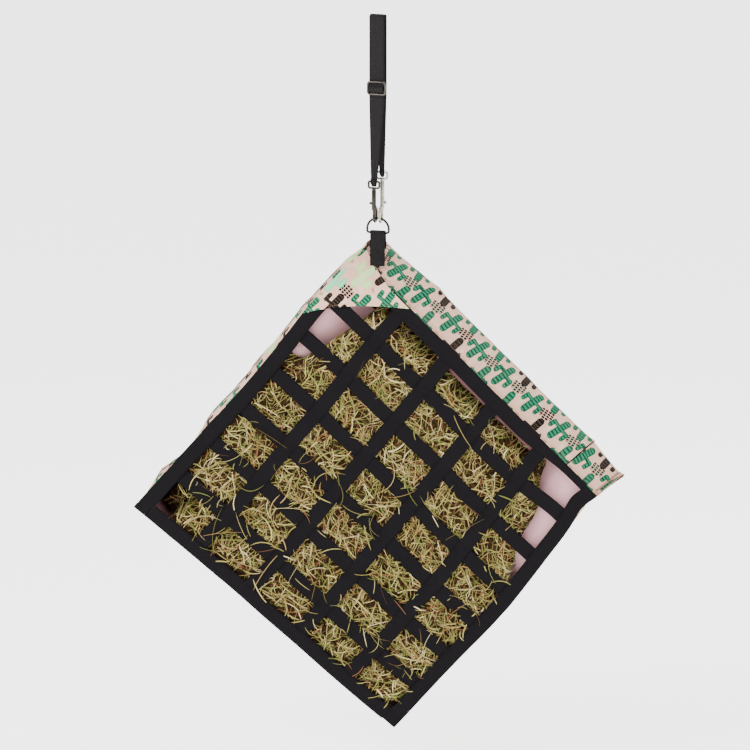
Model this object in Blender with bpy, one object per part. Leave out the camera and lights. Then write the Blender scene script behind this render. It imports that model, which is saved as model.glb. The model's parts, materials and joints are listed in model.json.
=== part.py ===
"""A slow-feed hay bag that hangs by one corner from an adjustable webbing strap.

The bag is a square pouch of printed fabric, turned so that one corner points up. Its front is a
net of black webbing, and its upper right side is a flap on touch tape, through which hay goes in.
Two snap hooks join the strap to the D-ring at the top corner.

Blender units are metres and +Z is up. The net faces -Y. The origin is the hanging point, in the
middle of the strap's fold. Sizes below are in millimetres, and every mesh is scaled as it is made.
"""

import math

import bmesh
import bpy
from mathutils import Matrix, Vector

MM = 0.001

# --- driving dimensions ---------------------------------------------------------------------
BAG_SIDE = 560.0
BAG_DEPTH = 152.0
BAG_CENTRE = (14.0, 0.0, -786.0)
BAG_TILT_DEG = 4.3  # the loaded bag hangs this far round, counter-clockwise from the front

WEBBING = 25.4  # every strap and band is one inch webbing
WEBBING_THICK = 1.4
FABRIC_THICK = 1.0
LINING_THICK = 0.6
CLEAR = 0.3  # running gap between neighbouring pieces

LONG_STRAPS = 4  # run up to the right, on top
CROSS_STRAPS = 6  # run down to the right, underneath

BAND_GAP = 0.4  # between the side borders and the two borders that end on them
STRAP_INSET = 4.0  # the straps end this far inside the bag's edge

CORNER_CUT = 126.0  # the printed corner piece reaches this far along both upper edges
NET_TRIM = 1.0  # and the net is trimmed this much further out
CORNER_MARGIN = 10.0  # and laps over the net by this much
CORNER_TIP = 6.0  # its tip is cut off here
CORNER_LAP = 1.6  # its outer face stands this far in front of the net
CORNER_ROWS = (20.0, 40.0, 64.0, 92.0)  # folds that round it off, as distances from the corner
PINCH = 62.0  # the top corner of the front is drawn back by this much
PINCH_POWER = 2.5

RIGHT_CREST = 28.0  # the slack upper right side folds outward by this much along its middle
LEFT_CREST = 14.0  # and the upper left side by this much
CREST_Y = -6.0

FLAP_START = 130.0  # distances along the upper right side, from the top corner
FLAP_END = 487.0
TAPE_START = 140.0
TAPE_END = 480.0
TAPE_WIDTH = 22.0
TAPE_THICK = 1.0
TAPE_NET_GAP = 0.9
FLAP_GAP = 0.5  # at either end of the flap
FACING_INSET = 2.0  # the flap's facing stays this far inside its edges

LINING_GAP = 0.6  # between the net and the lining's edge
LINING_PINCH_Y = -8.0  # the lining is cut away to here at the top corner, where the front is drawn back

HAY_INSET = 8.0  # the hay stays this far inside the bag's edge
HAY_LOWER_CUT = 24.0  # its corners are cut by these lengths along the edges
HAY_TOP_CUT = 130.0
HAY_RIGHT_CUT = 190.0
HAY_NET_GAP = 1.6
HAY_BACK_GAP = 4.0

BRANCH_OFFSET = 7.2  # the strap's two branches hang this far before and behind the fold
CROWN_FLAT = 6.0  # flat stretch inside the fold, where a hook carries the strap
BUNCHED_WIDTH = 12.0  # webbing gathered inside a snap's eye
BUNCHED_LENGTH = 26.0
SEWN_TAIL = 38.0
SHIFT_LENGTH = 60.0  # the branches part sideways over this length above the snaps
BAR_LEAD = 4.0  # webbing runs straight for this length before it meets a bar
SEWN_DROP = 30.0  # the sewn end reaches this far below the slider
FOLD_DROP = 60.0  # both branches hang straight from this far below the fold

SLIDER_Z = -120.5
SLIDER_WIDTH = 31.8
SLIDER_HEIGHT = 23.4
SLIDER_CORNER = 3.5
SLIDER_BAR = 1.4  # bar radius

SNAP_OFFSET_X = 4.8  # the front snap hangs this far left of the middle, the rear one right
EYE_BAR = 1.8
EYE_WIDTH = 18.2
EYE_HEIGHT = 11.0
EYE_CORNER = 2.8
HUB_HEIGHT = 3.2
HUB_RADIUS = 3.4
BARREL_RADIUS = 3.75
BORE_RADIUS = 2.45
BARREL_CAP = 3.0
BARREL_BOTTOM_Z = -324.0
FRONT_BARREL_TOP_Z = -291.0
REAR_BARREL_TOP_Z = -277.0
PIN_RADIUS = 1.45
PIN_HEAD_RADIUS = 2.1
PIN_HEAD = 1.5
HOOK_BAR = 2.3
HOOK_CENTRE_Z = -337.1
HOOK_BRIDGE_Z = -320.5
HOOK_TIP_Z = -333.0
BOLT_RADIUS = 2.15
BOLT_TOP_Z = -309.0
BOLT_TRAVEL = 7.5
STEM_Z = -313.0
STEM_RADIUS = 1.0
KNOB_RADIUS = 2.2
KNOB_REACH = 7.4
SPRING_WIRE = 0.4
SPRING_RADIUS = 1.7
SPRING_PITCH = 2.7

RING_WIRE = 2.1
RING_RADIUS = 18.4
RING_CENTRE_Z = -357.0
RING_BAR_Z = -362.5
RING_CORNER = 3.5

TAB_END_Z = -415.0
TAB_DRIFT = 0.315  # the tab leans this much to the right for each millimetre it comes forward
TAB_REACH = 6.0  # the tab's right edge lies this much further from the top corner
TAB_REAR_SWAY = 2.0  # the tab's short rear leg leans back by this much
TAB_REAR_GAP = 2.2  # and ends this far above the top corner

# --- sizes that follow from them --------------------------------------------------------------
HALF = BAG_SIDE / 2
FRONT = -BAG_DEPTH / 2
BACK = BAG_DEPTH / 2
TURN = math.radians(45 - BAG_TILT_DEG)
BORDER_INNER = HALF - WEBBING
INSIDE = HALF - FABRIC_THICK - BAND_GAP  # just inside the side panels
LAYER = WEBBING_THICK + CLEAR
BORDER_Y = FRONT
LONG_Y = BORDER_Y + LAYER
CROSS_Y = LONG_Y + LAYER
NET_BACK = CROSS_Y + WEBBING_THICK
SIDE_FRONT = FRONT + 1.9
SIDE_BACK = BACK - 1.4
BRANCH_FRONT = -BRANCH_OFFSET
FOLD_RADIUS = BRANCH_OFFSET - CROWN_FLAT / 2
EYE_TURN = EYE_BAR + CLEAR + WEBBING_THICK / 2


def pinched(distance):
    """Depth of the front surface, at this distance from the top corner along an edge."""
    if distance >= CORNER_CUT:
        return FRONT
    return FRONT + PINCH * (1 - distance / CORNER_CUT) ** PINCH_POWER


# --- materials --------------------------------------------------------------------------------
def make_material(name, colour, roughness, metallic=0.0):
    material = bpy.data.materials.new(name)
    material.use_nodes = True
    shader = material.node_tree.nodes["Principled BSDF"]
    shader.inputs["Base Color"].default_value = (*colour, 1.0)
    shader.inputs["Roughness"].default_value = roughness
    shader.inputs["Metallic"].default_value = metallic
    return material


# --- shapes -----------------------------------------------------------------------------------
def add_object(name, shape, material, parent=None, location=(0, 0, 0), smooth=False):
    """Makes an object from a bmesh drawn in millimetres about the object's own origin."""
    bmesh.ops.recalc_face_normals(shape, faces=shape.faces)
    bmesh.ops.scale(shape, vec=(MM, MM, MM), verts=shape.verts)
    mesh = bpy.data.meshes.new(name)
    shape.to_mesh(mesh)
    shape.free()
    mesh.materials.append(material)
    if smooth:
        mesh.shade_smooth()
        mesh.set_sharp_from_angle(angle=math.radians(40))
    item = bpy.data.objects.new(name, mesh)
    bpy.context.scene.collection.objects.link(item)
    item.parent = parent
    item.location = Vector(location) * MM
    return item


def add_axis(name, location, parent=None, rotation=(0, 0, 0)):
    """An empty that carries the pieces of one moving body."""
    axis = bpy.data.objects.new(name, None)
    bpy.context.scene.collection.objects.link(axis)
    axis.parent = parent
    axis.location = Vector(location) * MM
    axis.rotation_euler = rotation
    return axis


def block(low, high):
    """A box between two corners."""
    shape = bmesh.new()
    size = Vector(high) - Vector(low)
    middle = (Vector(high) + Vector(low)) / 2
    place = Matrix.Translation(middle) @ Matrix.Diagonal((*size, 1))
    bmesh.ops.create_cube(shape, size=1, matrix=place)
    return shape


def prism(outline, lift):
    """A closed outline of points, extruded by the vector lift."""
    shape = bmesh.new()
    face = shape.faces.new([shape.verts.new(point) for point in outline])
    grown = bmesh.ops.extrude_face_region(shape, geom=[face])
    moved = [part for part in grown["geom"] if isinstance(part, bmesh.types.BMVert)]
    bmesh.ops.translate(shape, vec=lift, verts=moved)
    return shape


def rod(low, high, radius, sides=20):
    """A straight round bar between two points."""
    shape = bmesh.new()
    low = Vector(low)
    along = Vector(high) - low
    turn = Vector((0, 0, 1)).rotation_difference(along).to_matrix().to_4x4()
    place = Matrix.Translation(low + along / 2) @ turn
    bmesh.ops.create_cone(
        shape, cap_ends=True, segments=sides, radius1=radius, radius2=radius,
        depth=along.length, matrix=place,
    )
    return shape


def bridge_rings(shape, rings, closed):
    """Skins a row of equal rings of vertices, and caps the ends unless the row closes on itself."""
    count = len(rings[0])
    pairs = list(zip(rings, rings[1:]))
    if closed:
        pairs.append((rings[-1], rings[0]))
    for one, other in pairs:
        for k in range(count):
            after = (k + 1) % count
            shape.faces.new((one[k], one[after], other[after], other[k]))
    if not closed:
        shape.faces.new(rings[0])
        shape.faces.new(rings[-1])


def bent_bar(path, normal, radius, sides=12, closed=False):
    """A round bar along a path that lies in the plane with this normal."""
    shape = bmesh.new()
    normal = Vector(normal)
    points = [Vector(point) for point in path]
    rings = []
    for k, point in enumerate(points):
        before = points[k - 1] if k or closed else point
        after = points[(k + 1) % len(points)] if k + 1 < len(points) or closed else point
        side = (after - before).normalized().cross(normal)
        ring = []
        for step in range(sides):
            angle = 2 * math.pi * step / sides
            offset = side * math.cos(angle) + normal * math.sin(angle)
            ring.append(shape.verts.new(point + offset * radius))
        rings.append(ring)
    bridge_rings(shape, rings, closed)
    return shape


def ribbon(path, widths):
    """Flat webbing along a path of (x, y, z), with its width across X."""
    shape = bmesh.new()
    points = [Vector(point) for point in path]
    rings = []
    for k, point in enumerate(points):
        before = (point - points[k - 1]) if k else (points[1] - point)
        after = (points[k + 1] - point) if k + 1 < len(points) else before
        before = Vector((0, before.y, before.z)).normalized()
        after = Vector((0, after.y, after.z)).normalized()
        along = (before + after).normalized()
        miter = max(along.dot(before), 0.5)
        face = Vector((0, -along.z, along.y)) * (WEBBING_THICK / 2 / miter)
        across = Vector((widths[k] / 2, 0, 0))
        corners = (-across - face, across - face, across + face, face - across)
        rings.append([shape.verts.new(point + corner) for corner in corners])
    bridge_rings(shape, rings, closed=False)
    return shape


def arc(centre, radius, start_deg, end_deg, steps):
    """Points (y, z) on an arc, with 0 degrees towards +Y and 90 degrees up."""
    points = []
    for k in range(steps + 1):
        angle = math.radians(start_deg + (end_deg - start_deg) * k / steps)
        points.append((centre[0] + radius * math.cos(angle), centre[1] + radius * math.sin(angle)))
    return points


def rounded_loop(half_width, low, high, radius, steps=5):
    """Points (across, up) round a rectangle with rounded corners."""
    points = []
    corners = (
        (half_width - radius, high - radius, 0),
        (radius - half_width, high - radius, 90),
        (radius - half_width, low + radius, 180),
        (half_width - radius, low + radius, 270),
    )
    for across, up, start in corners:
        points += arc((across, up), radius, start, start + 90, steps)
    return points


def joined(base, *others):
    """Unites bmesh shapes into one body, through Boolean modifiers that are applied at once."""
    return carve(base, others, "UNION")


def cut_from(base, *others):
    """Cuts bmesh shapes out of a base."""
    return carve(base, others, "DIFFERENCE")


def carve(base, others, operation):
    """Applies one Boolean operation for each of the others, and uses up all the shapes."""
    def temporary(shape):
        bmesh.ops.recalc_face_normals(shape, faces=shape.faces)
        mesh = bpy.data.meshes.new("tool")
        shape.to_mesh(mesh)
        shape.free()
        item = bpy.data.objects.new("tool", mesh)
        item.hide_render = True
        item.display_type = "WIRE"
        bpy.context.scene.collection.objects.link(item)
        return item

    body = temporary(base)
    tools = [temporary(other) for other in others]
    for tool in tools:
        boolean = body.modifiers.new("boolean", "BOOLEAN")
        boolean.operation = operation
        boolean.solver = "EXACT"
        boolean.object = tool
    graph = bpy.context.evaluated_depsgraph_get()
    result = bmesh.new()
    result.from_object(body, graph)
    for item in (body, *tools):
        mesh = item.data
        bpy.data.objects.remove(item)
        bpy.data.meshes.remove(mesh)
    return result


# --- the hanging strap and its slider ------------------------------------------------------------
def eye_bar_z(barrel_top):
    """Height of the bar that a snap's eye hangs by."""
    return barrel_top + CLEAR + HUB_HEIGHT + EYE_HEIGHT


def strap_path():
    """Middle line (y, z) of the strap, from its end on the slider to its end at the rear snap."""
    slider_y = BRANCH_FRONT - WEBBING_THICK / 2 - CLEAR - SLIDER_BAR
    sewn_turn = SLIDER_BAR + CLEAR + WEBBING_THICK / 2
    over_turn = sewn_turn + WEBBING_THICK + CLEAR
    inner_layer = BRANCH_FRONT + LAYER
    front_eye = eye_bar_z(FRONT_BARREL_TOP_Z)
    rear_eye = eye_bar_z(REAR_BARREL_TOP_Z)
    slot = SLIDER_HEIGHT / 2 - 2 * SLIDER_BAR
    top = WEBBING_THICK / 2 - FOLD_RADIUS

    # The sewn end, wrapped round the centre bar, and the inner layer down to the front snap.
    path = arc((slider_y, SLIDER_Z), sewn_turn, 255, -10, 14)
    path += [(inner_layer, SLIDER_Z - drop) for drop in (BAR_LEAD, SEWN_DROP)]
    path += [(inner_layer, front_eye + SHIFT_LENGTH)]
    path += arc((BRANCH_FRONT, front_eye), EYE_TURN, 0, -180, 10)
    # Up again in front, over the centre bar and on to the fold.
    path += [(BRANCH_FRONT, front_eye + SHIFT_LENGTH)]
    path += [(BRANCH_FRONT, SLIDER_Z - slot - BAR_LEAD), (BRANCH_FRONT, SLIDER_Z - slot)]
    path += arc((slider_y, SLIDER_Z), over_turn, 240, 120, 8)
    path += [(BRANCH_FRONT, SLIDER_Z + slot), (BRANCH_FRONT, SLIDER_Z + slot + BAR_LEAD)]
    path += [(BRANCH_FRONT, -FOLD_DROP)]
    path += arc((-CROWN_FLAT / 2, top), FOLD_RADIUS, 180, 90, 6)
    path += arc((CROWN_FLAT / 2, top), FOLD_RADIUS, 90, 0, 6)
    # Down behind, round the rear snap's eye, and the tail sewn to it.
    path += [(BRANCH_OFFSET, -FOLD_DROP), (BRANCH_OFFSET, rear_eye + SHIFT_LENGTH)]
    path += arc((BRANCH_OFFSET, rear_eye), EYE_TURN, 0, -180, 10)
    path += [(BRANCH_OFFSET - LAYER, rear_eye + SEWN_TAIL)]
    return path


def make_strap(material):
    front_eye = eye_bar_z(FRONT_BARREL_TOP_Z)
    rear_eye = eye_bar_z(REAR_BARREL_TOP_Z)
    points = []
    for y, z in strap_path():
        eye, side = (front_eye, -1) if y < 0 else (rear_eye, 1)
        shift = min(max(1 - (z - eye) / SHIFT_LENGTH, 0), 1)
        points.append((side * SNAP_OFFSET_X * shift, y, z))
    line = []
    widths = []
    for k, point in enumerate(points):
        eye = front_eye if point[1] < 0 else rear_eye
        spread = min(max((point[2] - eye) / BUNCHED_LENGTH, 0), 1)
        line.append(point)
        widths.append(BUNCHED_WIDTH + (WEBBING - BUNCHED_WIDTH) * spread)
        # Where a straight run passes the height at which the gathers end, it gets a point there.
        knee = eye + BUNCHED_LENGTH
        after = points[min(k + 1, len(points) - 1)]
        if (point[2] - knee) * (after[2] - knee) < 0:
            share = (knee - point[2]) / (after[2] - point[2])
            line.append(tuple(a + (b - a) * share for a, b in zip(point, after)))
            widths.append(WEBBING)
    add_object("hanging_strap", ribbon(line, widths), material)


def make_slider(material):
    """Three bars in a rounded frame. Its origin is on the strap's front branch."""
    slider_y = BRANCH_FRONT - WEBBING_THICK / 2 - CLEAR - SLIDER_BAR
    lift = slider_y - BRANCH_FRONT
    half_width = SLIDER_WIDTH / 2 - SLIDER_BAR
    half_height = SLIDER_HEIGHT / 2 - SLIDER_BAR
    loop = [(x, lift, z) for x, z in rounded_loop(half_width, -half_height, half_height, SLIDER_CORNER)]
    frame = bent_bar(loop, (0, 1, 0), SLIDER_BAR, closed=True)
    centre_bar = rod((-half_width, lift, 0), (half_width, lift, 0), SLIDER_BAR, sides=12)
    add_object(
        "strap_slider", joined(frame, centre_bar), material,
        location=(0, BRANCH_FRONT, SLIDER_Z), smooth=True,
    )


# --- the snap hooks --------------------------------------------------------------------------
def make_snap(name, side, barrel_top, metal, spring_metal):
    """One swivel snap. side is -1 for the front snap and 1 for the rear one, which is turned about."""
    swivel = add_axis(name + "_swivel_axis", (side * SNAP_OFFSET_X, side * BRANCH_OFFSET, 0))
    make_snap_eye(name, barrel_top, swivel, metal)
    make_snap_hook(name, side, barrel_top, swivel, metal)
    make_snap_bolt(name, side, swivel, metal)
    make_snap_spring(name, barrel_top, swivel, spring_metal)


def make_snap_eye(name, barrel_top, swivel, metal):
    """The eye that holds the webbing, with the riveted pin that the hook turns on."""
    low = barrel_top + CLEAR + HUB_HEIGHT
    loop = [(x, 0, z) for x, z in rounded_loop(EYE_WIDTH / 2, low, low + EYE_HEIGHT, EYE_CORNER)]
    eye = bent_bar(loop, (0, 1, 0), EYE_BAR, closed=True)
    hub = rod((0, 0, barrel_top + CLEAR), (0, 0, low), HUB_RADIUS)
    head_top = barrel_top - BARREL_CAP - CLEAR
    pin = rod((0, 0, head_top - PIN_HEAD / 2), (0, 0, low - 0.5), PIN_RADIUS, sides=12)
    head = rod((0, 0, head_top - PIN_HEAD), (0, 0, head_top), PIN_HEAD_RADIUS, sides=16)
    add_object(name + "_eye", joined(eye, hub, pin, head), metal, swivel, smooth=True)


def make_snap_hook(name, side, barrel_top, swivel, metal):
    """The hollow barrel and the hook below it, in one casting."""
    reach = 2 * BRANCH_OFFSET
    bend = BRANCH_OFFSET
    towards = -side
    path = [((BORE_RADIUS + BARREL_RADIUS) / 2, HOOK_BRIDGE_Z)]
    path += arc((reach - bend, HOOK_BRIDGE_Z - bend), bend, 90, 0, 6)
    path += arc((bend, HOOK_CENTRE_Z), bend, 0, -180, 14)
    path += [(0, HOOK_TIP_Z)]
    hook = bent_bar([(0, towards * y, z) for y, z in path], (1, 0, 0), HOOK_BAR)
    barrel = rod((0, 0, BARREL_BOTTOM_Z), (0, 0, barrel_top), BARREL_RADIUS)
    bore = rod((0, 0, BARREL_BOTTOM_Z - 1), (0, 0, barrel_top - BARREL_CAP), BORE_RADIUS)
    hole_low = (0, 0, barrel_top - BARREL_CAP - 1)
    pin_hole = rod(hole_low, (0, 0, barrel_top + 1), PIN_RADIUS + CLEAR, sides=12)
    slot_half = STEM_RADIUS + CLEAR
    slot_end = side * BARREL_RADIUS * 2
    slot = block(
        (min(0, slot_end), -slot_half, STEM_Z - slot_half),
        (max(0, slot_end), slot_half, STEM_Z + BOLT_TRAVEL + slot_half),
    )
    solid = cut_from(joined(barrel, hook), bore, pin_hole, slot)
    add_object(name + "_hook", solid, metal, swivel, smooth=True)


def make_snap_bolt(name, side, swivel, metal):
    """The sliding bolt that shuts the hook, with its thumb knob."""
    bolt = rod((0, 0, HOOK_TIP_Z + CLEAR), (0, 0, BOLT_TOP_Z), BOLT_RADIUS, sides=16)
    stem = rod((0, 0, STEM_Z), (side * (KNOB_REACH - 1), 0, STEM_Z), STEM_RADIUS, sides=10)
    knob_inner = BARREL_RADIUS + CLEAR * 2
    knob = rod((side * knob_inner, 0, STEM_Z), (side * KNOB_REACH, 0, STEM_Z), KNOB_RADIUS, sides=14)
    add_object(name + "_bolt", joined(bolt, stem, knob), metal, swivel, smooth=True)


def make_snap_spring(name, barrel_top, swivel, metal):
    """The coil between the bolt's top and the pin's head."""
    low = BOLT_TOP_Z + CLEAR + SPRING_WIRE
    high = barrel_top - BARREL_CAP - 2 * CLEAR - PIN_HEAD - SPRING_WIRE
    turns = (high - low) / SPRING_PITCH
    steps = round(turns * 10)
    shape = bmesh.new()
    rings = []
    for k in range(steps + 1):
        angle = 2 * math.pi * turns * k / steps
        out = Vector((math.cos(angle), math.sin(angle), 0))
        centre = out * SPRING_RADIUS + Vector((0, 0, low + (high - low) * k / steps))
        ring = []
        for step in range(6):
            around = 2 * math.pi * step / 6
            offset = out * math.cos(around) + Vector((0, 0, math.sin(around)))
            ring.append(shape.verts.new(centre + offset * SPRING_WIRE))
        rings.append(ring)
    bridge_rings(shape, rings, closed=False)
    add_object(name + "_spring", shape, metal, swivel, smooth=True)


# --- the ring and its tab ----------------------------------------------------------------------
def make_ring(metal):
    """A D-ring, drawn about the middle of its arc."""
    bar = RING_BAR_Z - RING_CENTRE_Z
    path = arc((0, 0), RING_RADIUS, 0, 180, 20)
    path += arc((RING_CORNER - RING_RADIUS, bar + RING_CORNER), RING_CORNER, 180, 270, 5)
    path += arc((RING_RADIUS - RING_CORNER, bar + RING_CORNER), RING_CORNER, 270, 360, 5)
    loop = [(x, 0, z) for x, z in path]
    add_object(
        "d_ring", bent_bar(loop, (0, 1, 0), RING_WIRE, closed=True), metal,
        location=(0, 0, RING_CENTRE_Z), smooth=True,
    )


def top_corner():
    """World place (x, z) of the bag's top corner."""
    reach = HALF * math.sqrt(2)
    tilt = math.radians(BAG_TILT_DEG)
    return BAG_CENTRE[0] - reach * math.sin(tilt), BAG_CENTRE[2] + reach * math.cos(tilt)


def make_tab(swing, material):
    """Webbing folded round the ring's bar. The front leg lies on the corner piece."""
    corner_z = top_corner()[1]
    turn = RING_WIRE + CLEAR + WEBBING_THICK / 2
    path = []
    steps = 8
    for k in range(steps + 1):
        z = TAB_END_Z + (corner_z - TAB_END_Z) * k / steps
        distance = math.sqrt(2) * (corner_z - z) + TAB_REACH
        slope = (pinched(distance) - pinched(distance + 1)) * math.sqrt(2)
        lap = (WEBBING_THICK / 2 + CLEAR) * math.hypot(1, slope)
        path.append((pinched(distance) - CORNER_LAP - lap, z - RING_BAR_Z))
    path += arc((0, 0), turn, 180, 0, 10)
    path += [(turn + TAB_REAR_SWAY, corner_z - RING_BAR_Z + TAB_REAR_GAP)]
    points = [(max(-y, 0) * TAB_DRIFT, y, z) for y, z in path]
    add_object("ring_tab", ribbon(points, [WEBBING] * len(points)), material, swing)


# --- the bag -----------------------------------------------------------------------------------
def make_band(name, low, high, bag, material):
    """One flat strap of the net, trimmed where the corner piece begins."""
    shape = block(low, high)
    edge = CORNER_CUT + NET_TRIM
    trimmed = bmesh.ops.bisect_plane(
        shape, geom=shape.verts[:] + shape.edges[:] + shape.faces[:],
        plane_co=(edge - HALF, 0, HALF), plane_no=(-1, 0, 1), clear_outer=True,
    )
    rim = [part for part in trimmed["geom_cut"] if isinstance(part, bmesh.types.BMEdge)]
    if rim:
        bmesh.ops.contextual_create(shape, geom=rim)
    add_object(name, shape, material, bag)


def make_net(bag, material):
    y = (BORDER_Y, BORDER_Y + WEBBING_THICK)
    inner = BORDER_INNER
    between = inner - BAND_GAP
    make_band("net_border_upper_left", (-HALF, y[0], -HALF), (-inner, y[1], HALF), bag, material)
    make_band("net_border_lower_right", (inner, y[0], -HALF), (HALF, y[1], HALF), bag, material)
    make_band("net_border_lower_left", (-between, y[0], -HALF), (between, y[1], -inner), bag, material)
    make_band("net_border_upper_right", (-between, y[0], inner), (between, y[1], HALF), bag, material)
    reach = HALF - STRAP_INSET
    for k, middle in enumerate(strap_places(LONG_STRAPS)):
        low = (middle - WEBBING / 2, LONG_Y, -reach)
        high = (middle + WEBBING / 2, LONG_Y + WEBBING_THICK, reach)
        make_band(f"net_long_strap_{k + 1}", low, high, bag, material)
    for k, middle in enumerate(strap_places(CROSS_STRAPS)):
        low = (-reach, CROSS_Y, middle - WEBBING / 2)
        high = (reach, CROSS_Y + WEBBING_THICK, middle + WEBBING / 2)
        make_band(f"net_cross_strap_{k + 1}", low, high, bag, material)


def strap_places(count):
    """Middle lines of count straps, spaced evenly between two border bands."""
    opening = (2 * BORDER_INNER - count * WEBBING) / (count + 1)
    return [-BORDER_INNER + opening + WEBBING / 2 + k * (opening + WEBBING) for k in range(count)]


def make_corner_piece(bag, material):
    """Printed fabric over the top corner of the net, drawn back towards the tip."""
    rows = [CORNER_TIP, *CORNER_ROWS, CORNER_CUT, CORNER_CUT + CORNER_MARGIN]
    shape = bmesh.new()
    skins = []
    for lap in (-CORNER_LAP, FABRIC_THICK - CORNER_LAP):
        skin = []
        for distance in rows:
            y = pinched(distance) + lap
            skin.append((
                shape.verts.new((-HALF, y, HALF - distance)),
                shape.verts.new((distance - HALF, y, HALF)),
            ))
        skins.append(skin)
    outer, inner = skins
    rings = [(a[0], a[1], b[1], b[0]) for a, b in zip(outer, inner)]
    bridge_rings(shape, rings, closed=False)
    add_object("corner_piece", shape, material, bag)


def crest(distance, y, height):
    """How far an upper side stands out, at this distance from the top corner and this depth."""
    front = pinched(distance) + SIDE_FRONT - FRONT
    if y < CREST_Y:
        share = (y - front) / (CREST_Y - front)
    else:
        share = (SIDE_BACK - y) / (SIDE_BACK - CREST_Y)
    return height * min(distance / CORNER_CUT, 1) * share


def on_upper_right(distance, y, outward):
    """Place in the bag of a point on the upper right side."""
    return distance - HALF, y, HALF + outward


def on_upper_left(distance, y, outward):
    """Place in the bag of a point on the upper left side."""
    return -HALF - outward, y, HALF - distance


def side_sheet(place, height, start, end, front_inset, back, top, thick):
    """Fabric along an upper side, creased at its crest, and narrower where the front is drawn back."""
    distances = [start] + [d for d in (*CORNER_ROWS, CORNER_CUT) if start < d < end] + [end]
    shape = bmesh.new()
    rings = []
    for distance in distances:
        front = pinched(distance) + SIDE_FRONT - FRONT + front_inset
        depths = [y for y in (front, CREST_Y, back) if front <= y <= back]
        outer = [(y, top + crest(distance, y, height)) for y in depths]
        inner = [(y, outward - thick) for y, outward in reversed(outer)]
        ring = [shape.verts.new(place(distance, y, outward)) for y, outward in outer + inner]
        rings.append(ring)
    for one, other in zip(rings, rings[1:]):
        count = len(one)
        for k in range(count):
            after = (k + 1) % count
            quad = [one[k], one[after], other[after], other[k]]
            if k >= count // 2:  # the inner face is split along the same lines as the outer one
                quad = quad[1:] + quad[:1]
            shape.faces.new((quad[0], quad[1], quad[2]))
            shape.faces.new((quad[0], quad[2], quad[3]))
    shape.faces.new(rings[0])
    shape.faces.new(rings[-1])
    return shape


def make_panels(bag, print_fabric):
    add_object(
        "back_panel", block((-HALF, BACK - FABRIC_THICK, -HALF), (HALF, BACK, HALF)), print_fabric, bag
    )
    upper_left = side_sheet(on_upper_left, LEFT_CREST, 0, BAG_SIDE, 0, SIDE_BACK, 0, FABRIC_THICK)
    add_object("gusset_upper_left", upper_left, print_fabric, bag)
    lower_right = block((HALF - FABRIC_THICK, SIDE_FRONT, -HALF), (HALF, SIDE_BACK, HALF))
    add_object("gusset_lower_right", lower_right, print_fabric, bag)
    lower_left = block(
        (-INSIDE, SIDE_FRONT, -HALF), (INSIDE, SIDE_BACK, FABRIC_THICK - HALF)
    )
    add_object("gusset_lower_left", lower_left, print_fabric, bag)
    ends = {
        "upper_right_top_end": (HALF - INSIDE, FLAP_START - FLAP_GAP),
        "upper_right_end": (FLAP_END + FLAP_GAP, HALF + INSIDE),
    }
    for name, (start, end) in ends.items():
        piece = side_sheet(on_upper_right, RIGHT_CREST, start, end, 0, SIDE_BACK, 0, FABRIC_THICK)
        add_object(name, piece, print_fabric, bag)


def make_lining(bag, material):
    """A plain tray inside the panels: the back and three sides. The flap closes the fourth."""
    out = INSIDE
    inn = out - LINING_THICK
    back = BACK - FABRIC_THICK - CLEAR
    rim = NET_BACK + LINING_GAP
    walls = [
        block((-out, rim, -out), (-inn, back, out)),
        block((inn, rim, -out), (out, back, out)),
        block((-out, rim, -out), (out, back, -inn)),
    ]
    sheet = block((-out, back - LINING_THICK, -out), (out, back, out))
    tray = joined(sheet, *walls)
    over = 1.0  # the cutter stands this far outside the lining
    wedge = [
        (-HALF - over, rim - over, HALF + over),
        (-HALF - over, rim - over, HALF - CORNER_CUT),
        (-HALF - over, LINING_PINCH_Y, HALF + over),
    ]
    corner = prism(wedge, (HALF - inn + 2 * over, 0, 0))
    add_object("lining", cut_from(tray, corner), material, bag)


def make_hay(bag, material):
    """The load of hay. It stays clear of the top corner and the right hand one."""
    reach = HALF - HAY_INSET
    lower = HAY_LOWER_CUT
    outline = [
        (-reach + lower, -reach), (reach - lower, -reach), (reach, -reach + lower),
        (reach, reach - HAY_RIGHT_CUT), (reach - HAY_RIGHT_CUT, reach),
        (-reach + HAY_TOP_CUT, reach), (-reach, reach - HAY_TOP_CUT), (-reach, -reach + lower),
    ]
    front = NET_BACK + HAY_NET_GAP
    back = BACK - HAY_BACK_GAP
    shape = prism([(x, front, z) for x, z in outline], (0, back - front, 0))
    add_object("hay_fill", shape, material, bag)


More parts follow.
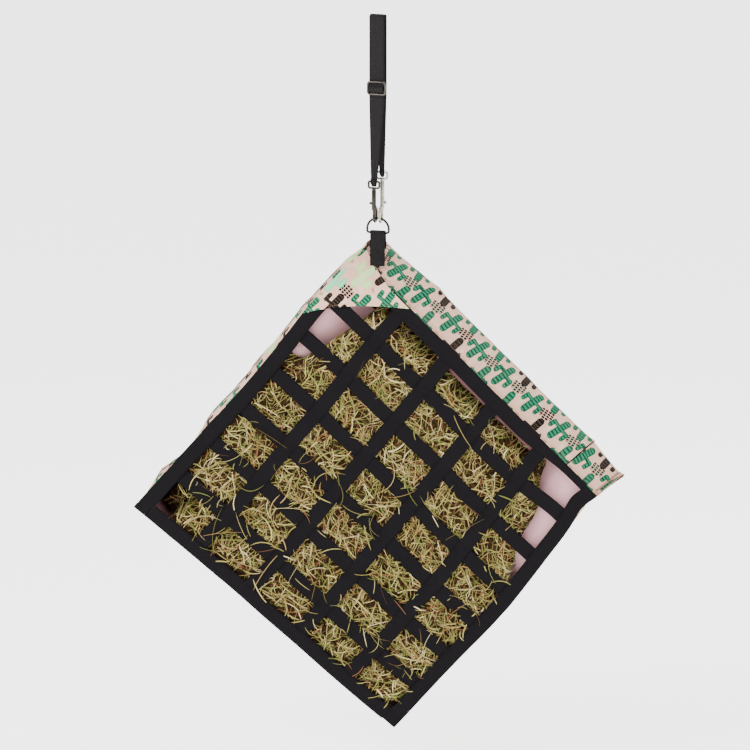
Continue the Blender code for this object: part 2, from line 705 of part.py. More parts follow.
def make_flap(bag, print_fabric, lining, tape):
    """The closing flap with what is sewn to it, and the tape on the bag that it sticks to."""
    line = Vector((0, SIDE_BACK, HALF))
    hinge = add_axis("flap_hinge_axis", line, bag)

    def from_hinge(distance, y, outward):
        return Vector(on_upper_right(distance, y, outward)) - line

    def sheet(place, start, end, front_inset, back, top, thick):
        return side_sheet(place, RIGHT_CREST, start, end, front_inset, back, top, thick)

    back = SIDE_BACK - CLEAR
    inset = FACING_INSET
    facing_top = -FABRIC_THICK - CLEAR
    hooks_top = facing_top - LINING_THICK - CLEAR
    loops_top = hooks_top - TAPE_THICK - CLEAR
    tape_inset = NET_BACK + TAPE_NET_GAP - SIDE_FRONT
    tape_back = SIDE_FRONT + tape_inset + TAPE_WIDTH
    tape_ends = (TAPE_START, TAPE_END, tape_inset, tape_back)

    cover = sheet(from_hinge, FLAP_START, FLAP_END, 0, back, 0, FABRIC_THICK)
    facing = sheet(
        from_hinge, FLAP_START + inset, FLAP_END - inset, inset, back - inset, facing_top, LINING_THICK
    )
    hooks = sheet(from_hinge, *tape_ends, hooks_top, TAPE_THICK)
    loops = sheet(on_upper_right, *tape_ends, loops_top, TAPE_THICK)
    add_object("closure_flap", cover, print_fabric, hinge)
    add_object("flap_lining", facing, lining, hinge)
    add_object("flap_hook_tape", hooks, tape, hinge)
    add_object("loop_tape", loops, tape, bag)


def main():
    for item in list(bpy.data.objects):
        bpy.data.objects.remove(item)
    webbing = make_material("black_webbing", (0.018, 0.018, 0.022), 0.75)
    print_fabric = make_material("printed_fabric", (0.66, 0.50, 0.42), 0.8)
    lining = make_material("pink_lining", (0.58, 0.39, 0.43), 0.8)
    tape = make_material("black_touch_tape", (0.02, 0.02, 0.02), 0.95)
    nickel = make_material("nickel", (0.62, 0.60, 0.55), 0.25, metallic=1.0)
    steel = make_material("spring_steel", (0.45, 0.45, 0.46), 0.35, metallic=1.0)
    hay = make_material("hay", (0.36, 0.30, 0.12), 0.95)

    make_strap(webbing)
    make_slider(nickel)
    make_snap("front_snap", -1, FRONT_BARREL_TOP_Z, nickel, steel)
    make_snap("rear_snap", 1, REAR_BARREL_TOP_Z, nickel, steel)
    make_ring(nickel)

    swing = add_axis("bag_swing_axis", (0, 0, RING_BAR_Z))
    bag_place = (BAG_CENTRE[0], BAG_CENTRE[1], BAG_CENTRE[2] - RING_BAR_Z)
    bag = add_axis("bag_frame", bag_place, swing, (0, TURN, 0))
    make_tab(swing, webbing)
    make_corner_piece(bag, print_fabric)
    make_panels(bag, print_fabric)
    make_lining(bag, lining)
    make_net(bag, webbing)
    make_hay(bag, hay)
    make_flap(bag, print_fabric, lining, tape)


main()
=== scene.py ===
"""How the hay bag looks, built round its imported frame: cloth, webbing, hay, metal, light and camera.

Lengths are in millimetres until a mesh is made. Places on the bag are given in the bag's own axes:
x runs down to the right, z up to the right, and y from the net at the front to the back panel.
Each cloth piece carries the attribute "cloth", its place on the flat fabric, which the weaves and
the print follow.
"""

import json
import math

import bmesh
import bpy
import numpy as np
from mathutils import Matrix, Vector


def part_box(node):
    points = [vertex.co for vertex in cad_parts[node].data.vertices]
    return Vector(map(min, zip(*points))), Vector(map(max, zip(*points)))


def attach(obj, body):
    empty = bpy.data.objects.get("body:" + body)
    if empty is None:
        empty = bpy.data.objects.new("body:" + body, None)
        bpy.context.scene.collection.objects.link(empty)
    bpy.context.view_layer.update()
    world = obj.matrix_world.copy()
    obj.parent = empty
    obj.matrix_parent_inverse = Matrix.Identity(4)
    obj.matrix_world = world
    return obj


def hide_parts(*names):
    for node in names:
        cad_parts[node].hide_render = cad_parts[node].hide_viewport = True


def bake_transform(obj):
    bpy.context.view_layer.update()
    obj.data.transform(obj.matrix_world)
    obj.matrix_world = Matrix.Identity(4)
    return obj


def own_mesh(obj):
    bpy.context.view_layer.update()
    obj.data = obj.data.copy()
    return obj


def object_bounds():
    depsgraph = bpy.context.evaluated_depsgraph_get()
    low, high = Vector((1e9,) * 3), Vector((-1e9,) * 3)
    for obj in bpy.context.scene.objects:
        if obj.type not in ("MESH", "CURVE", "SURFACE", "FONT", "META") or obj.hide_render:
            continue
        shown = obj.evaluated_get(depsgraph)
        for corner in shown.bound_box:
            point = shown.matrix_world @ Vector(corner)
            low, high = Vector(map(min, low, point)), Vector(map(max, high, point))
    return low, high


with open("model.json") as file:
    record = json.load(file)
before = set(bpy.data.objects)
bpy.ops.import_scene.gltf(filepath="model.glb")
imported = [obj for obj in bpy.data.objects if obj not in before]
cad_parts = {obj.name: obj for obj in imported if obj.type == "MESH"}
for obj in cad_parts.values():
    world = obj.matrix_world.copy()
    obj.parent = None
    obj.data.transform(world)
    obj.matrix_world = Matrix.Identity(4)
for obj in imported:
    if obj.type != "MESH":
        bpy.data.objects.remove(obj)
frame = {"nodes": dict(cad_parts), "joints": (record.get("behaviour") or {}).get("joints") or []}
cad_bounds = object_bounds()

MM = 0.001
SEED = 7

# --- places that come from the frame ----------------------------------------------------------


def node_box(node):
    """Lowest and highest corner of a CAD node, in millimetres."""
    low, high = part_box(node)
    return np.array(low) / MM, np.array(high) / MM


def joint(name):
    """The frame's record of a joint."""
    return next(item for item in frame["joints"] if item["name"] == name)


FALL = -np.array(joint("flap_open")["axis"], float)
RISE = np.array((-FALL[2], 0.0, FALL[0]))
DEPTH = np.array((0.0, 1.0, 0.0))
BACK_LOW, BACK_HIGH = node_box("back_panel")
CENTRE = (BACK_LOW + BACK_HIGH) / 2 * (1, 0, 1)
HALF = (BACK_HIGH[0] - BACK_LOW[0]) / (abs(FALL[0]) + abs(FALL[2])) / 2
FRONT = node_box("net_border_lower_right")[0][1]
BACK = BACK_HIGH[1]
SIDE_FRONT = FRONT + 1.9  # where the cloth of the sides starts and ends
SIDE_BACK = BACK - 1.4
WEBBING = 25.4  # width of the webbing
THICK = 1.4  # its thickness

CORNER_CUT = 126.0  # distance from the top corner at which the net leaves the corner piece
UNDER_CORNER = 112.0  # distance from the top corner at which the net's straps end
PINCH = 62.0  # how far the front is drawn back at the top corner
PINCH_POWER = 2.5
FLAP_START = 130.0  # distances along the upper right side from the top corner
FLAP_END = 487.0
END_FOLD = 551.0  # the hem across the lower end of the upper right side
RIGHT_CREST = 28.0  # how far the upper right side stands out
SEAM = 8.0  # width of the strip of cloth folded into the front seam of a side
SIDE_DEPTH = 152.0
PRINTED_DEPTH = 118.0  # the print runs closer together across the upper right side
LONG_STRAPS = 4
CROSS_STRAPS = 6

# How far the load moves each corner of the square, in world millimetres.
TOP_SHIFT = (0, 0, 6)
LEFT_SHIFT = (-18, 0, -15)
RIGHT_SHIFT = (-6, 0, -7)
RIGHT_FRONT_SHIFT = (0, 0, -6)  # more of it at the net than at the back
LOW_SHIFT = (8, 0, 6)

DRAPE_FRAMES = 22
BLADES = 10500
TOP_BLADES = 1500
STALKS = 44


def points_from(*parts):
    """One array of points from the arrays of their coordinates."""
    return np.stack(parts, axis=-1)


def hump(value, middle, width):
    """A smooth rise that is 1 at the middle and dies away over the width."""
    return np.exp(-(((value - middle) / width) ** 2))


def to_world(points):
    """World place of points in the bag's axes, with the sag that the load gives the outline."""
    points = np.asarray(points, float)
    x, y, z = points[..., 0], points[..., 1], points[..., 2]
    right = np.clip((x + HALF) / (2 * HALF), 0, 1)
    upper = np.clip((z + HALF) / (2 * HALF), 0, 1)

    # The lower right edge bulges and is waisted near the right corner, the upper left edge is drawn
    # in, and the lower left edge sags.
    waist = 11.0 * hump(z, 5, 135) - 9 * hump(z, 238, 40)
    x = x + waist * np.clip(x / HALF, 0, 1) ** 2
    x = x + 3.5 * hump(z, 10, 130) * np.clip(-x / HALF, 0, 1) ** 2
    z = z - 36 * right ** 3 * (1 - right) * (1 - upper) ** 2
    world = CENTRE + x[..., None] * FALL + z[..., None] * RISE + y[..., None] * DEPTH

    nearness = np.clip(0.5 - y / (BACK - FRONT), 0, 1)
    for share, shift in (
        (((1 - right) * upper) ** 3, TOP_SHIFT),
        (((1 - right) * (1 - upper)) ** 1.6, LEFT_SHIFT),
        (right * upper, RIGHT_SHIFT),
        (nearness * (right * upper) ** 3, RIGHT_FRONT_SHIFT),
        (right * (1 - upper), LOW_SHIFT),
    ):
        world = world + share[..., None] * np.array(shift)

    # Inside its edges the bag gives to the right and down, most of all near the right corner.
    height = (z * RISE[2] + x * FALL[2]) / HALF
    inside = (1 - np.clip(x / HALF, -1, 1) ** 4) * (1 - np.clip(z / HALF, -1, 1) ** 4)
    right_corner = hump(x, 250, 75) * hump(z, 200, 65) * (1 - np.clip(z / HALF, -1, 1) ** 6)
    left_corner = hump(x, -230, 70) * hump(z, 150, 80)
    aside = 6 * inside + 9.5 * right_corner - 1.5 * left_corner
    drop = (9 * np.maximum(height, 0) + 14 * np.minimum(height, 0) - 2) * inside
    drop = drop + 14 * right_corner + 5 * left_corner
    return world + points_from(aside, 0 * inside, drop)


def ripple(u, v, wavelength, seed):
    """Smooth random waves over (u, v), roughly between -1 and 1."""
    waves = 7
    random = np.random.default_rng(seed)
    total = 0
    for _ in range(waves):
        angle = random.uniform(0, 2 * math.pi)
        phase = random.uniform(0, 2 * math.pi)
        wave = wavelength * random.uniform(0.7, 1.5)
        along = u * math.cos(angle) + v * math.sin(angle)
        total = total + np.sin(2 * math.pi * along / wave + phase)
    return total / waves * 1.6


def smooth(low, high, value):
    """0 below low, 1 above high, and a smooth step between them."""
    share = np.clip((value - low) / (high - low), 0, 1)
    return share * share * (3 - 2 * share)


# --- materials: arithmetic on fields ----------------------------------------------------------


class Field:
    """A value that varies over a surface. Arithmetic on it adds Math nodes to its material."""

    def __init__(self, socket):
        self.socket = socket

    def __add__(self, other):
        return math_node("ADD", self, other)

    def __radd__(self, other):
        return math_node("ADD", other, self)

    def __sub__(self, other):
        return math_node("SUBTRACT", self, other)

    def __rsub__(self, other):
        return math_node("SUBTRACT", other, self)

    def __mul__(self, other):
        return math_node("MULTIPLY", self, other)

    def __rmul__(self, other):
        return math_node("MULTIPLY", other, self)

    def __truediv__(self, other):
        return math_node("DIVIDE", self, other)


def feed(socket, value):
    """Links a field to a socket, or sets the socket to a plain value."""
    if isinstance(value, Field):
        socket.id_data.links.new(value.socket, socket)
    else:
        socket.default_value = value


def math_node(operation, *values):
    tree = next(value.socket.id_data for value in values if isinstance(value, Field))
    node = tree.nodes.new("ShaderNodeMath")
    node.operation = operation
    for socket, value in zip(node.inputs, values):
        feed(socket, value)
    return Field(node.outputs[0])


def sine(value, wavelength):
    return math_node("SINE", value * (2 * math.pi / wavelength))


def floor(value):
    return math_node("FLOOR", value)


def lowest(*values):
    found = values[0]
    for value in values[1:]:
        found = math_node("MINIMUM", found, value)
    return found


def clamp(value, low, high):
    return math_node("MINIMUM", math_node("MAXIMUM", value, low), high)


def length(x, y):
    return math_node("SQRT", x * x + y * y)


def step(low, high, value):
    """1 where value is past high, 0 where it is before low. low may be the larger."""
    node = value.socket.id_data.nodes.new("ShaderNodeMapRange")
    node.interpolation_type = "SMOOTHSTEP"
    for socket, item in zip(node.inputs, (value, low, high, 0.0, 1.0)):
        feed(socket, item)
    return Field(node.outputs[0])


def vector(x, y, z=0.0):
    tree = x.socket.id_data
    node = tree.nodes.new("ShaderNodeCombineXYZ")
    for socket, value in zip(node.inputs, (x, y, z)):
        feed(socket, value)
    return Field(node.outputs[0])


def parts_of(value):
    node = value.socket.id_data.nodes.new("ShaderNodeSeparateXYZ")
    feed(node.inputs[0], value)
    return [Field(output) for output in node.outputs]


def noise(place, scale, detail=3.0, roughness=0.55):
    """Noise between 0 and 1. scale is in waves per unit of place."""
    node = place.socket.id_data.nodes.new("ShaderNodeTexNoise")
    feed(node.inputs["Vector"], place)
    node.inputs["Scale"].default_value = scale
    node.inputs["Detail"].default_value = detail
    node.inputs["Roughness"].default_value = roughness
    return Field(node.outputs["Fac"])


def chance(place):
    """Three random numbers between 0 and 1 for each whole number place."""
    node = place.socket.id_data.nodes.new("ShaderNodeTexWhiteNoise")
    feed(node.inputs["Vector"], place)
    return parts_of(Field(node.outputs["Color"]))


def mix(share, one, other):
    """Colour one where share is 0, other where it is 1."""
    node = share.socket.id_data.nodes.new("ShaderNodeMix")
    node.data_type = "RGBA"
    feed(node.inputs[0], share)
    feed(node.inputs[6], one)
    feed(node.inputs[7], other)
    return Field(node.outputs[2])


def colour(red, green, blue):
    """A linear colour from the numbers of a display colour, each out of 255."""
    values = []
    for part in (red, green, blue):
        share = part / 255
        values.append(share / 12.92 if share <= 0.04045 else ((share + 0.055) / 1.055) ** 2.4)
    return (*values, 1.0)


class Finish:
    """One material: its tree, the fields it starts from, and its shader's inputs."""

    def __init__(self, name, roughness=0.8, metallic=0.0, sheen=0.0, specular=0.5):
        self.material = bpy.data.materials.new(name)
        self.material.use_nodes = True
        self.tree = self.material.node_tree
        self.shader = self.tree.nodes["Principled BSDF"]
        self.set("Roughness", roughness)
        self.set("Metallic", metallic)
        self.set("Sheen Weight", sheen)
        self.set("Specular IOR Level", specular)

    def set(self, name, value):
        feed(self.shader.inputs[name], value)

    def cloth(self):
        """Place on the flat fabric, in millimetres."""
        node = self.tree.nodes.new("ShaderNodeAttribute")
        node.attribute_name = "cloth"
        return Field(node.outputs["Vector"])

    def place(self):
        """Place in the object, in millimetres."""
        node = self.tree.nodes.new("ShaderNodeTexCoord")
        scaled = self.tree.nodes.new("ShaderNodeVectorMath")
        scaled.operation = "SCALE"
        self.tree.links.new(node.outputs["Object"], scaled.inputs[0])
        scaled.inputs["Scale"].default_value = 1 / MM
        return Field(scaled.outputs[0])

    def piece_chance(self):
        """A random number for each separate blade or stitch of a mesh."""
        return Field(self.tree.nodes.new("ShaderNodeNewGeometry").outputs["Random Per Island"])

    def bump(self, height, distance, strength=1.0):
        """Relief of height x distance millimetres."""
        node = self.tree.nodes.new("ShaderNodeBump")
        node.inputs["Strength"].default_value = strength
        node.inputs["Distance"].default_value = distance * MM
        feed(node.inputs["Height"], height)
        self.set("Normal", Field(node.outputs[0]))


# --- materials: cloth, webbing, hay and metal -----------------------------------------------------

SAND = colour(208, 174, 148)
ROSE = colour(212, 162, 144)
PALE_SAND = colour(220, 194, 170)
EMERALD = colour(0, 84, 56)
DEEP_GREEN = colour(0, 50, 38)
MINT = colour(70, 196, 144)
PALE_MINT = colour(136, 216, 170)
LIME = colour(136, 222, 116)
INK = colour(4, 3, 5)
TAUPE = colour(148, 116, 92)

PRINT_COLUMN = 62.0  # spacing of the cacti across the cloth, before the second lot between them
PRINT_ROW = 64.0
PRINT_REPEAT = 3  # columns and rows before the print comes round again
TRUNK = 17.0  # half the trunk's length between its round ends
TRUNK_RADIUS = 6.2
ARM_REACH = 15.5  # from the trunk's middle to the raised part of an arm
ARM_RISE = 9.5
ARM_RADIUS = 4.1
FIRST_TINTS = ((2, 4), (0,), (5,))  # numbers of the black, mint and lime cacti; the rest are green
SECOND_TINTS = ((1, 8), (3,), (4,))


def whole_part_of(value, period):
    """What is left of a whole number after taking away whole periods."""
    return value - floor((value + 0.5) / period) * period


def print_cell(u, v, shift_u, shift_v):
    """Place inside a cell of a grid, the cell's number in the repeat, and its chances."""
    row = floor((v + shift_v) / PRINT_ROW)
    column = floor((u + shift_u) / PRINT_COLUMN)
    x = (u + shift_u) - (column + 0.5) * PRINT_COLUMN
    y = (v + shift_v) - (row + 0.5) * PRINT_ROW
    number = whole_part_of(column, PRINT_REPEAT) + whole_part_of(row, PRINT_REPEAT) * PRINT_REPEAT
    return x, y, number, chance(vector(number + shift_u, number * 0.37))


def is_one_of(number, wanted):
    """1 where number is one of the wanted whole numbers."""
    found = 0.0
    for value in wanted:
        near = math_node("ABSOLUTE", number - float(value))
        found = step(0.5, 0.4, near) + found
    return found


def turned(x, y, share, most):
    """(x, y) turned by up to most radians either way, as share goes from 0 to 1."""
    angle = (share - 0.5) * (2 * most)
    return x + y * angle, y - x * angle


def saguaro(x, y, left_height, right_height):
    """Distance outside a cactus with a trunk and two raised arms."""
    side = step(-0.5, 0.5, x)
    height = left_height + (right_height - left_height) * side
    across = math_node("ABSOLUTE", x)
    trunk = length(x, y - clamp(y, -TRUNK, TRUNK)) - TRUNK_RADIUS
    low_arm = length(across - clamp(across, 0.0, ARM_REACH), y - height) - ARM_RADIUS * 0.8
    raised = y - height - clamp(y - height, 0.0, ARM_RISE)
    high_arm = length(across - ARM_REACH, raised) - ARM_RADIUS
    return lowest(trunk, low_arm, high_arm)


def add_pebble(ground, u, v, shift):
    """A small soft pebble in each cell."""
    x, y, _, (one, two, three) = print_cell(u, v, *shift)
    x, y = turned(x - (one - 0.5) * 5, y - (two - 0.5) * 5, three, 0.7)
    pebble = length(x * 0.55, y) - 3.2
    return mix(step(0.9, -0.9, pebble) * 0.75, ground, TAUPE)


def add_seedling(ground, u, v, shift):
    """Four striped seedlings in each cell, dark green or black."""
    x, y, _, (one, two, three) = print_cell(u, v, *shift)
    x, y = turned(x - (one - 0.5) * 3, y - (two - 0.5) * 3, three, 0.3)
    across = math_node("ABSOLUTE", x)
    inner = length(across - 3.1, y - clamp(y, -7.5, 6.5)) - 2.5
    outer = length(across - 9.2, y - clamp(y, -7.5, 3.0)) - 2.4
    striped = step(0.3, -0.3, lowest(inner, outer)) * step(-0.95, -0.7, sine(y, 4.4))
    return mix(striped, ground, mix(step(0.65, 0.67, two), INK, DEEP_GREEN))


def add_cactus(ground, place, u, v, shift, tints):
    """A cactus in each cell: a brushed outline, a paler body and dark dashes across its ribs."""
    x, y, number, (one, two, three) = print_cell(u, v, *shift)
    x, y = turned(x - (one - 0.5) * 5, y - (two - 0.5) * 6, three, 0.2)
    brushed = (noise(place, 0.5, 2.0) - 0.5) * 1.6
    distance = saguaro(x, y, -4.0 + two * 5, 1.0 - one * 6) + sine(y, 3.1) * 0.3 + brushed
    body = step(0.3, -0.3, distance)
    inside = step(-1.5, -2.2, distance)
    dash = step(0.0, 0.4, sine(y + brushed * 2, 5.6)) * step(-1.1, -1.5, distance)
    green = mix(inside * 0.22, EMERALD, MINT)
    green = mix(dash, green, DEEP_GREEN)
    mint = mix(inside * 0.6, MINT, PALE_MINT)
    lime = mix(inside * 0.6, LIME, PALE_SAND)
    black = mix(inside * step(-0.2, 0.6, sine(y, 5.6)) * 0.12, INK, TAUPE)
    tint = green
    for numbers, other in zip(tints, (black, mint, lime)):
        tint = mix(is_one_of(number, numbers), tint, other)
    return mix(body, ground, tint)


def cactus_print(place):
    """Colour of the printed cloth: sandy ground with scattered cacti."""
    u, v, _ = parts_of(place)
    ground = mix(noise(place, 0.03, 2.0), SAND, ROSE)
    ground = mix(step(0.5, 0.75, noise(place, 0.06, 3.0)), ground, PALE_SAND)
    ground = add_pebble(ground, u, v, (0.0, PRINT_ROW / 2))
    ground = add_seedling(ground, u, v, (PRINT_COLUMN / 2, 0.0))
    ground = add_cactus(ground, place, u, v, (0.0, 0.0), FIRST_TINTS)
    return add_cactus(ground, place, u, v, (PRINT_COLUMN / 2, PRINT_ROW / 2), SECOND_TINTS)


def printed_cloth():
    """Plain-woven canvas under the print, paler where it is worn."""
    finish = Finish("printed_canvas", sheen=0.02, specular=0.08)
    place = finish.cloth()
    u, v, _ = parts_of(place)
    wear = noise(place, 0.012, 4.0)
    design = cactus_print(place)
    shade = mix(step(0.35, 0.7, wear), design, PALE_SAND)
    printed = mix(wear * 0.03, design, shade)
    thread = sine(u, 0.9) * sine(v, 0.9)
    finish.set("Base Color", printed)
    finish.set("Roughness", 0.72 + wear * 0.2)
    finish.bump(thread * 0.5 + noise(place, 0.5, 4.0) * 1.5, 0.12, 0.6)
    return finish.material


def pink_cloth(name, light, dark):
    """Plain-woven lining, its tint wandering between light and dark."""
    finish = Finish(name, sheen=0.05, specular=0.1)
    place = finish.cloth()
    u, v, _ = parts_of(place)
    worn = noise(place, 0.02, 4.0)
    finish.set("Base Color", mix(worn, light, dark))
    finish.set("Roughness", 0.6 + worn * 0.25)
    finish.bump(sine(u, 0.8) * sine(v, 0.8) * 0.5 + noise(place, 0.3, 4.0) * 2, 0.12, 0.6)
    return finish.material


def black_webbing(name, rib, wear):
    """Ribbed webbing, its ribs worn pale by a share. u runs along it and v across it."""
    finish = Finish(name, sheen=0.01, specular=0.06)
    place = finish.cloth()
    u, v, _ = parts_of(place)
    cords = sine(u + sine(v, 1.6) * 0.25, 1.5)
    warp = sine(v, 1.15)
    edge = step(WEBBING * 0.42, WEBBING * 0.47, math_node("ABSOLUTE", v))
    faded = noise(place, 0.03, 4.0)
    dark = mix(faded, colour(7, 5, 5), colour(15, 13, 16))
    worn = mix(step(0.2, 1.0, cords) * wear, dark, rib)
    finish.set("Base Color", mix(edge * 0.5, worn, colour(5, 3, 3)))
    finish.set("Roughness", 0.6 + faded * 0.3)
    finish.bump(cords * 0.6 + warp * 0.35 + edge * 0.6 + noise(place, 0.8) * 0.5, 0.22, 0.8)
    return finish.material


def touch_tape():
    """The fuzzy face of hooked or looped tape."""
    finish = Finish("black_touch_tape_pile", roughness=0.95, sheen=0.3)
    place = finish.cloth()
    pile = noise(place, 1.4, 5.0, 0.8)
    finish.set("Base Color", mix(pile, colour(12, 12, 14), colour(44, 43, 47)))
    finish.bump(pile, 0.6)
    return finish.material


def thread_finish(name, tint):
    """Twisted thread."""
    finish = Finish(name, roughness=0.7, specular=0.06)
    place = finish.place()
    twist = noise(place, 1.5, 2.0)
    finish.set("Base Color", mix(twist * 0.08, tint, colour(60, 50, 44)))
    finish.bump(twist, 0.1)
    return finish.material


def nickel(name, tint, dull):
    """Plated zinc: bright, with casting ripple, fine scratches and grime."""
    finish = Finish(name, metallic=1.0)
    place = finish.place()
    grime = step(0.45, 0.75, noise(place, 0.22, 5.0, 0.65))
    scratch = step(0.62, 0.7, noise(vector(*stretched(place, (0.25, 2.2, 2.2))), 0.8, 4.0))
    finish.set("Base Color", mix(grime * 0.55, tint, dull))
    finish.set("Roughness", 0.2 + grime * 0.25 + scratch * 0.12)
    finish.bump(noise(place, 0.35, 3.0) * 1.5 - scratch * 0.1, 0.12, 0.5)
    return finish.material


def stretched(place, scales):
    """The coordinates of a place, each scaled by its own number."""
    return [part * scale for part, scale in zip(parts_of(place), scales)]


# Where each tone of the hay starts, as a share of the blades.
HAY_TONES = (
    (0.0, colour(182, 170, 112)),
    (0.11, colour(150, 140, 80)),
    (0.34, colour(122, 120, 60)),
    (0.54, colour(94, 106, 46)),
    (0.66, colour(158, 132, 84)),
    (0.76, colour(114, 74, 42)),
    (0.86, colour(66, 38, 24)),
    (0.95, colour(208, 194, 146)),
)


def hay_finish():
    """Each blade takes one of the hay's tones, mottled with brown."""
    finish = Finish("hay_blades", sheen=0.01, specular=0.15)
    place = finish.place()
    pick = finish.piece_chance()
    ramp = finish.tree.nodes.new("ShaderNodeValToRGB")
    ramp.color_ramp.interpolation = "CONSTANT"
    feed(ramp.inputs[0], pick)
    stops = ramp.color_ramp.elements
    stops.remove(stops[1])
    stops[0].position = 0.0
    stops[0].color = HAY_TONES[0][1]
    for start, tone in HAY_TONES[1:]:
        stops.new(start).color = tone
    mottled = noise(place, 0.12, 4.0)
    blade = Field(ramp.outputs["Color"])
    finish.set("Base Color", mix(mottled * 0.35, blade, colour(96, 70, 38)))
    finish.set("Roughness", 0.55 + mottled * 0.3)
    finish.bump(noise(place, 0.9, 3.0), 0.15, 0.5)
    return finish.material


def hay_bed_finish():
    """Matted hay in shadow, as seen between the blades."""
    finish = Finish("hay_shadowed_bed", roughness=0.95, specular=0.05)
    place = finish.place()
    clump = noise(place, 0.16, 6.0, 0.7)
    fine = noise(vector(*stretched(place, (1.0, 1.0, 0.35))), 0.5, 5.0, 0.7)
    dark = mix(step(0.35, 0.7, clump), colour(26, 14, 10), colour(66, 48, 26))
    finish.set("Base Color", mix(step(0.55, 0.8, fine), dark, colour(104, 86, 48)))
    finish.bump(clump * 2 + fine * 2, 2.5)
    return finish.material


PRINT = printed_cloth()
PINK = pink_cloth("pink_lining_cloth", colour(194, 150, 154), colour(174, 130, 134))
# A dark copy of the lining pink: painted shade for the lining's hem, which lies in shadow inside the upper
# right border.
SHADED_PINK = pink_cloth("pink_lining_edge_painted_shade", colour(92, 60, 62), colour(64, 40, 42))
WEB = black_webbing("net_webbing", colour(30, 28, 33), 0.35)
STRAP_WEB = black_webbing("strap_webbing", colour(64, 62, 62), 0.6)
TAPE = touch_tape()
BLACK_THREAD = thread_finish("black_thread", colour(9, 8, 9))
SAND_THREAD = thread_finish("sand_thread", colour(150, 116, 94))
BRIGHT_NICKEL = nickel("nickel_bright", colour(176, 170, 156), colour(92, 84, 72))
# A dark copy of the snaps' nickel: painted shade on the front snap.
SHADED_NICKEL = nickel("nickel_painted_shade", colour(60, 56, 50), colour(26, 23, 20))
RING_NICKEL = nickel("ring_nickel", colour(56, 52, 47), colour(26, 23, 20))
GUNMETAL = nickel("slider_black_nickel", colour(78, 73, 68), colour(26, 23, 21))
SPRING_STEEL = nickel("spring_wire", colour(150, 148, 146), colour(90, 84, 78))
HAY = hay_finish()
HAY_BED = hay_bed_finish()


# --- mesh building ------------------------------------------------------------------------------


def make_piece(name, points, faces, material, cloth=None, sharp_deg=50):
    """A mesh object from points in world millimetres, shaded smooth but for its sharp edges."""
    mesh = bpy.data.meshes.new(name)
    mesh.from_pydata((np.asarray(points, float) * MM).tolist(), [], faces)
    if cloth is not None:
        layer = mesh.attributes.new("cloth", "FLOAT_VECTOR", "POINT")
        flat = np.zeros((len(points), 3), np.float32)
        flat[:, :2] = np.asarray(cloth)[:, :2]
        layer.data.foreach_set("vector", flat.ravel())
    mesh.materials.append(material)
    mesh.shade_smooth()
    mesh.set_sharp_from_angle(angle=math.radians(sharp_deg))
    mesh.update()
    item = bpy.data.objects.new(name, mesh)
    bpy.context.scene.collection.objects.link(item)
    return item


def ride(piece, *nodes, body="bag"):
    """Puts a piece on its body, in place of CAD nodes."""
    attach(piece, body)
    if nodes:
        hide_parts(*nodes)


def grid_faces(rows, columns, start=0, wrap=False):
    """Quads over a grid of points. With wrap, the last column joins the first."""
    faces = []
    last = columns if wrap else columns - 1
    for i in range(rows - 1):
        for j in range(last):
            after = (j + 1) % columns
            one = start + i * columns
            faces.append((one + j, one + after, one + columns + after, one + columns + j))
    return faces


def normals_of(surface):
    """Unit normals of a grid of points."""
    along = np.gradient(surface, axis=0)
    across = np.gradient(surface, axis=1)
    normal = np.cross(along, across)
    return normal / np.maximum(np.linalg.norm(normal, axis=-1, keepdims=True), 1e-9)


def rim_faces(rows, columns):
    """Quads that join the rims of two grids of points, the second of which follows the first."""
    count = rows * columns
    loop = grid_rim(rows, columns)
    return [(after, one, one + count, after + count) for one, after in zip(loop, loop[1:] + loop[:1])]


def grid_rim(rows, columns):
    """Indexes of the points round the edge of a grid, in order."""
    rim = [(0, j) for j in range(columns - 1)]
    rim += [(i, columns - 1) for i in range(rows - 1)]
    rim += [(rows - 1, j) for j in range(columns - 1, 0, -1)]
    rim += [(i, 0) for i in range(rows - 1, 0, -1)]
    return [i * columns + j for i, j in rim]


def draped(surface, looseness, furthest):
    """A grid in the bag's axes as loose cloth held along its edges, in world millimetres.

    It comes from a short simulation under gravity. The cloth is longer than its place by the share
    looseness, and no point moves more than furthest.
    """
    outer = to_world(surface)
    rows, columns = outer.shape[:2]
    mesh = bpy.data.meshes.new("drape")
    mesh.from_pydata((outer.reshape(-1, 3) * MM).tolist(), [], grid_faces(rows, columns))
    item = bpy.data.objects.new("drape", mesh)
    bpy.context.scene.collection.objects.link(item)
    held = item.vertex_groups.new(name="held")
    held.add(grid_rim(rows, columns), 1.0, "REPLACE")
    cloth = item.modifiers.new("cloth", "CLOTH")
    cloth.settings.vertex_group_mass = "held"
    cloth.settings.shrink_min = -looseness
    cloth.settings.quality = 6
    cloth.settings.mass = 0.25
    cloth.settings.bending_stiffness = 1.5
    cloth.collision_settings.use_collision = False
    cloth.point_cache.frame_start = 1
    cloth.point_cache.frame_end = DRAPE_FRAMES
    for moment in range(1, DRAPE_FRAMES + 1):
        bpy.context.scene.frame_set(moment)
    found = item.evaluated_get(bpy.context.evaluated_depsgraph_get()).to_mesh()
    places = np.empty(rows * columns * 3, np.float32)
    found.vertices.foreach_get("co", places)
    bpy.data.objects.remove(item)
    bpy.context.scene.frame_set(1)
    moved = places.reshape(rows, columns, 3) / MM - outer
    far = np.maximum(np.linalg.norm(moved, axis=-1, keepdims=True), 1e-6)
    return outer + moved / far * furthest * np.tanh(far / furthest)


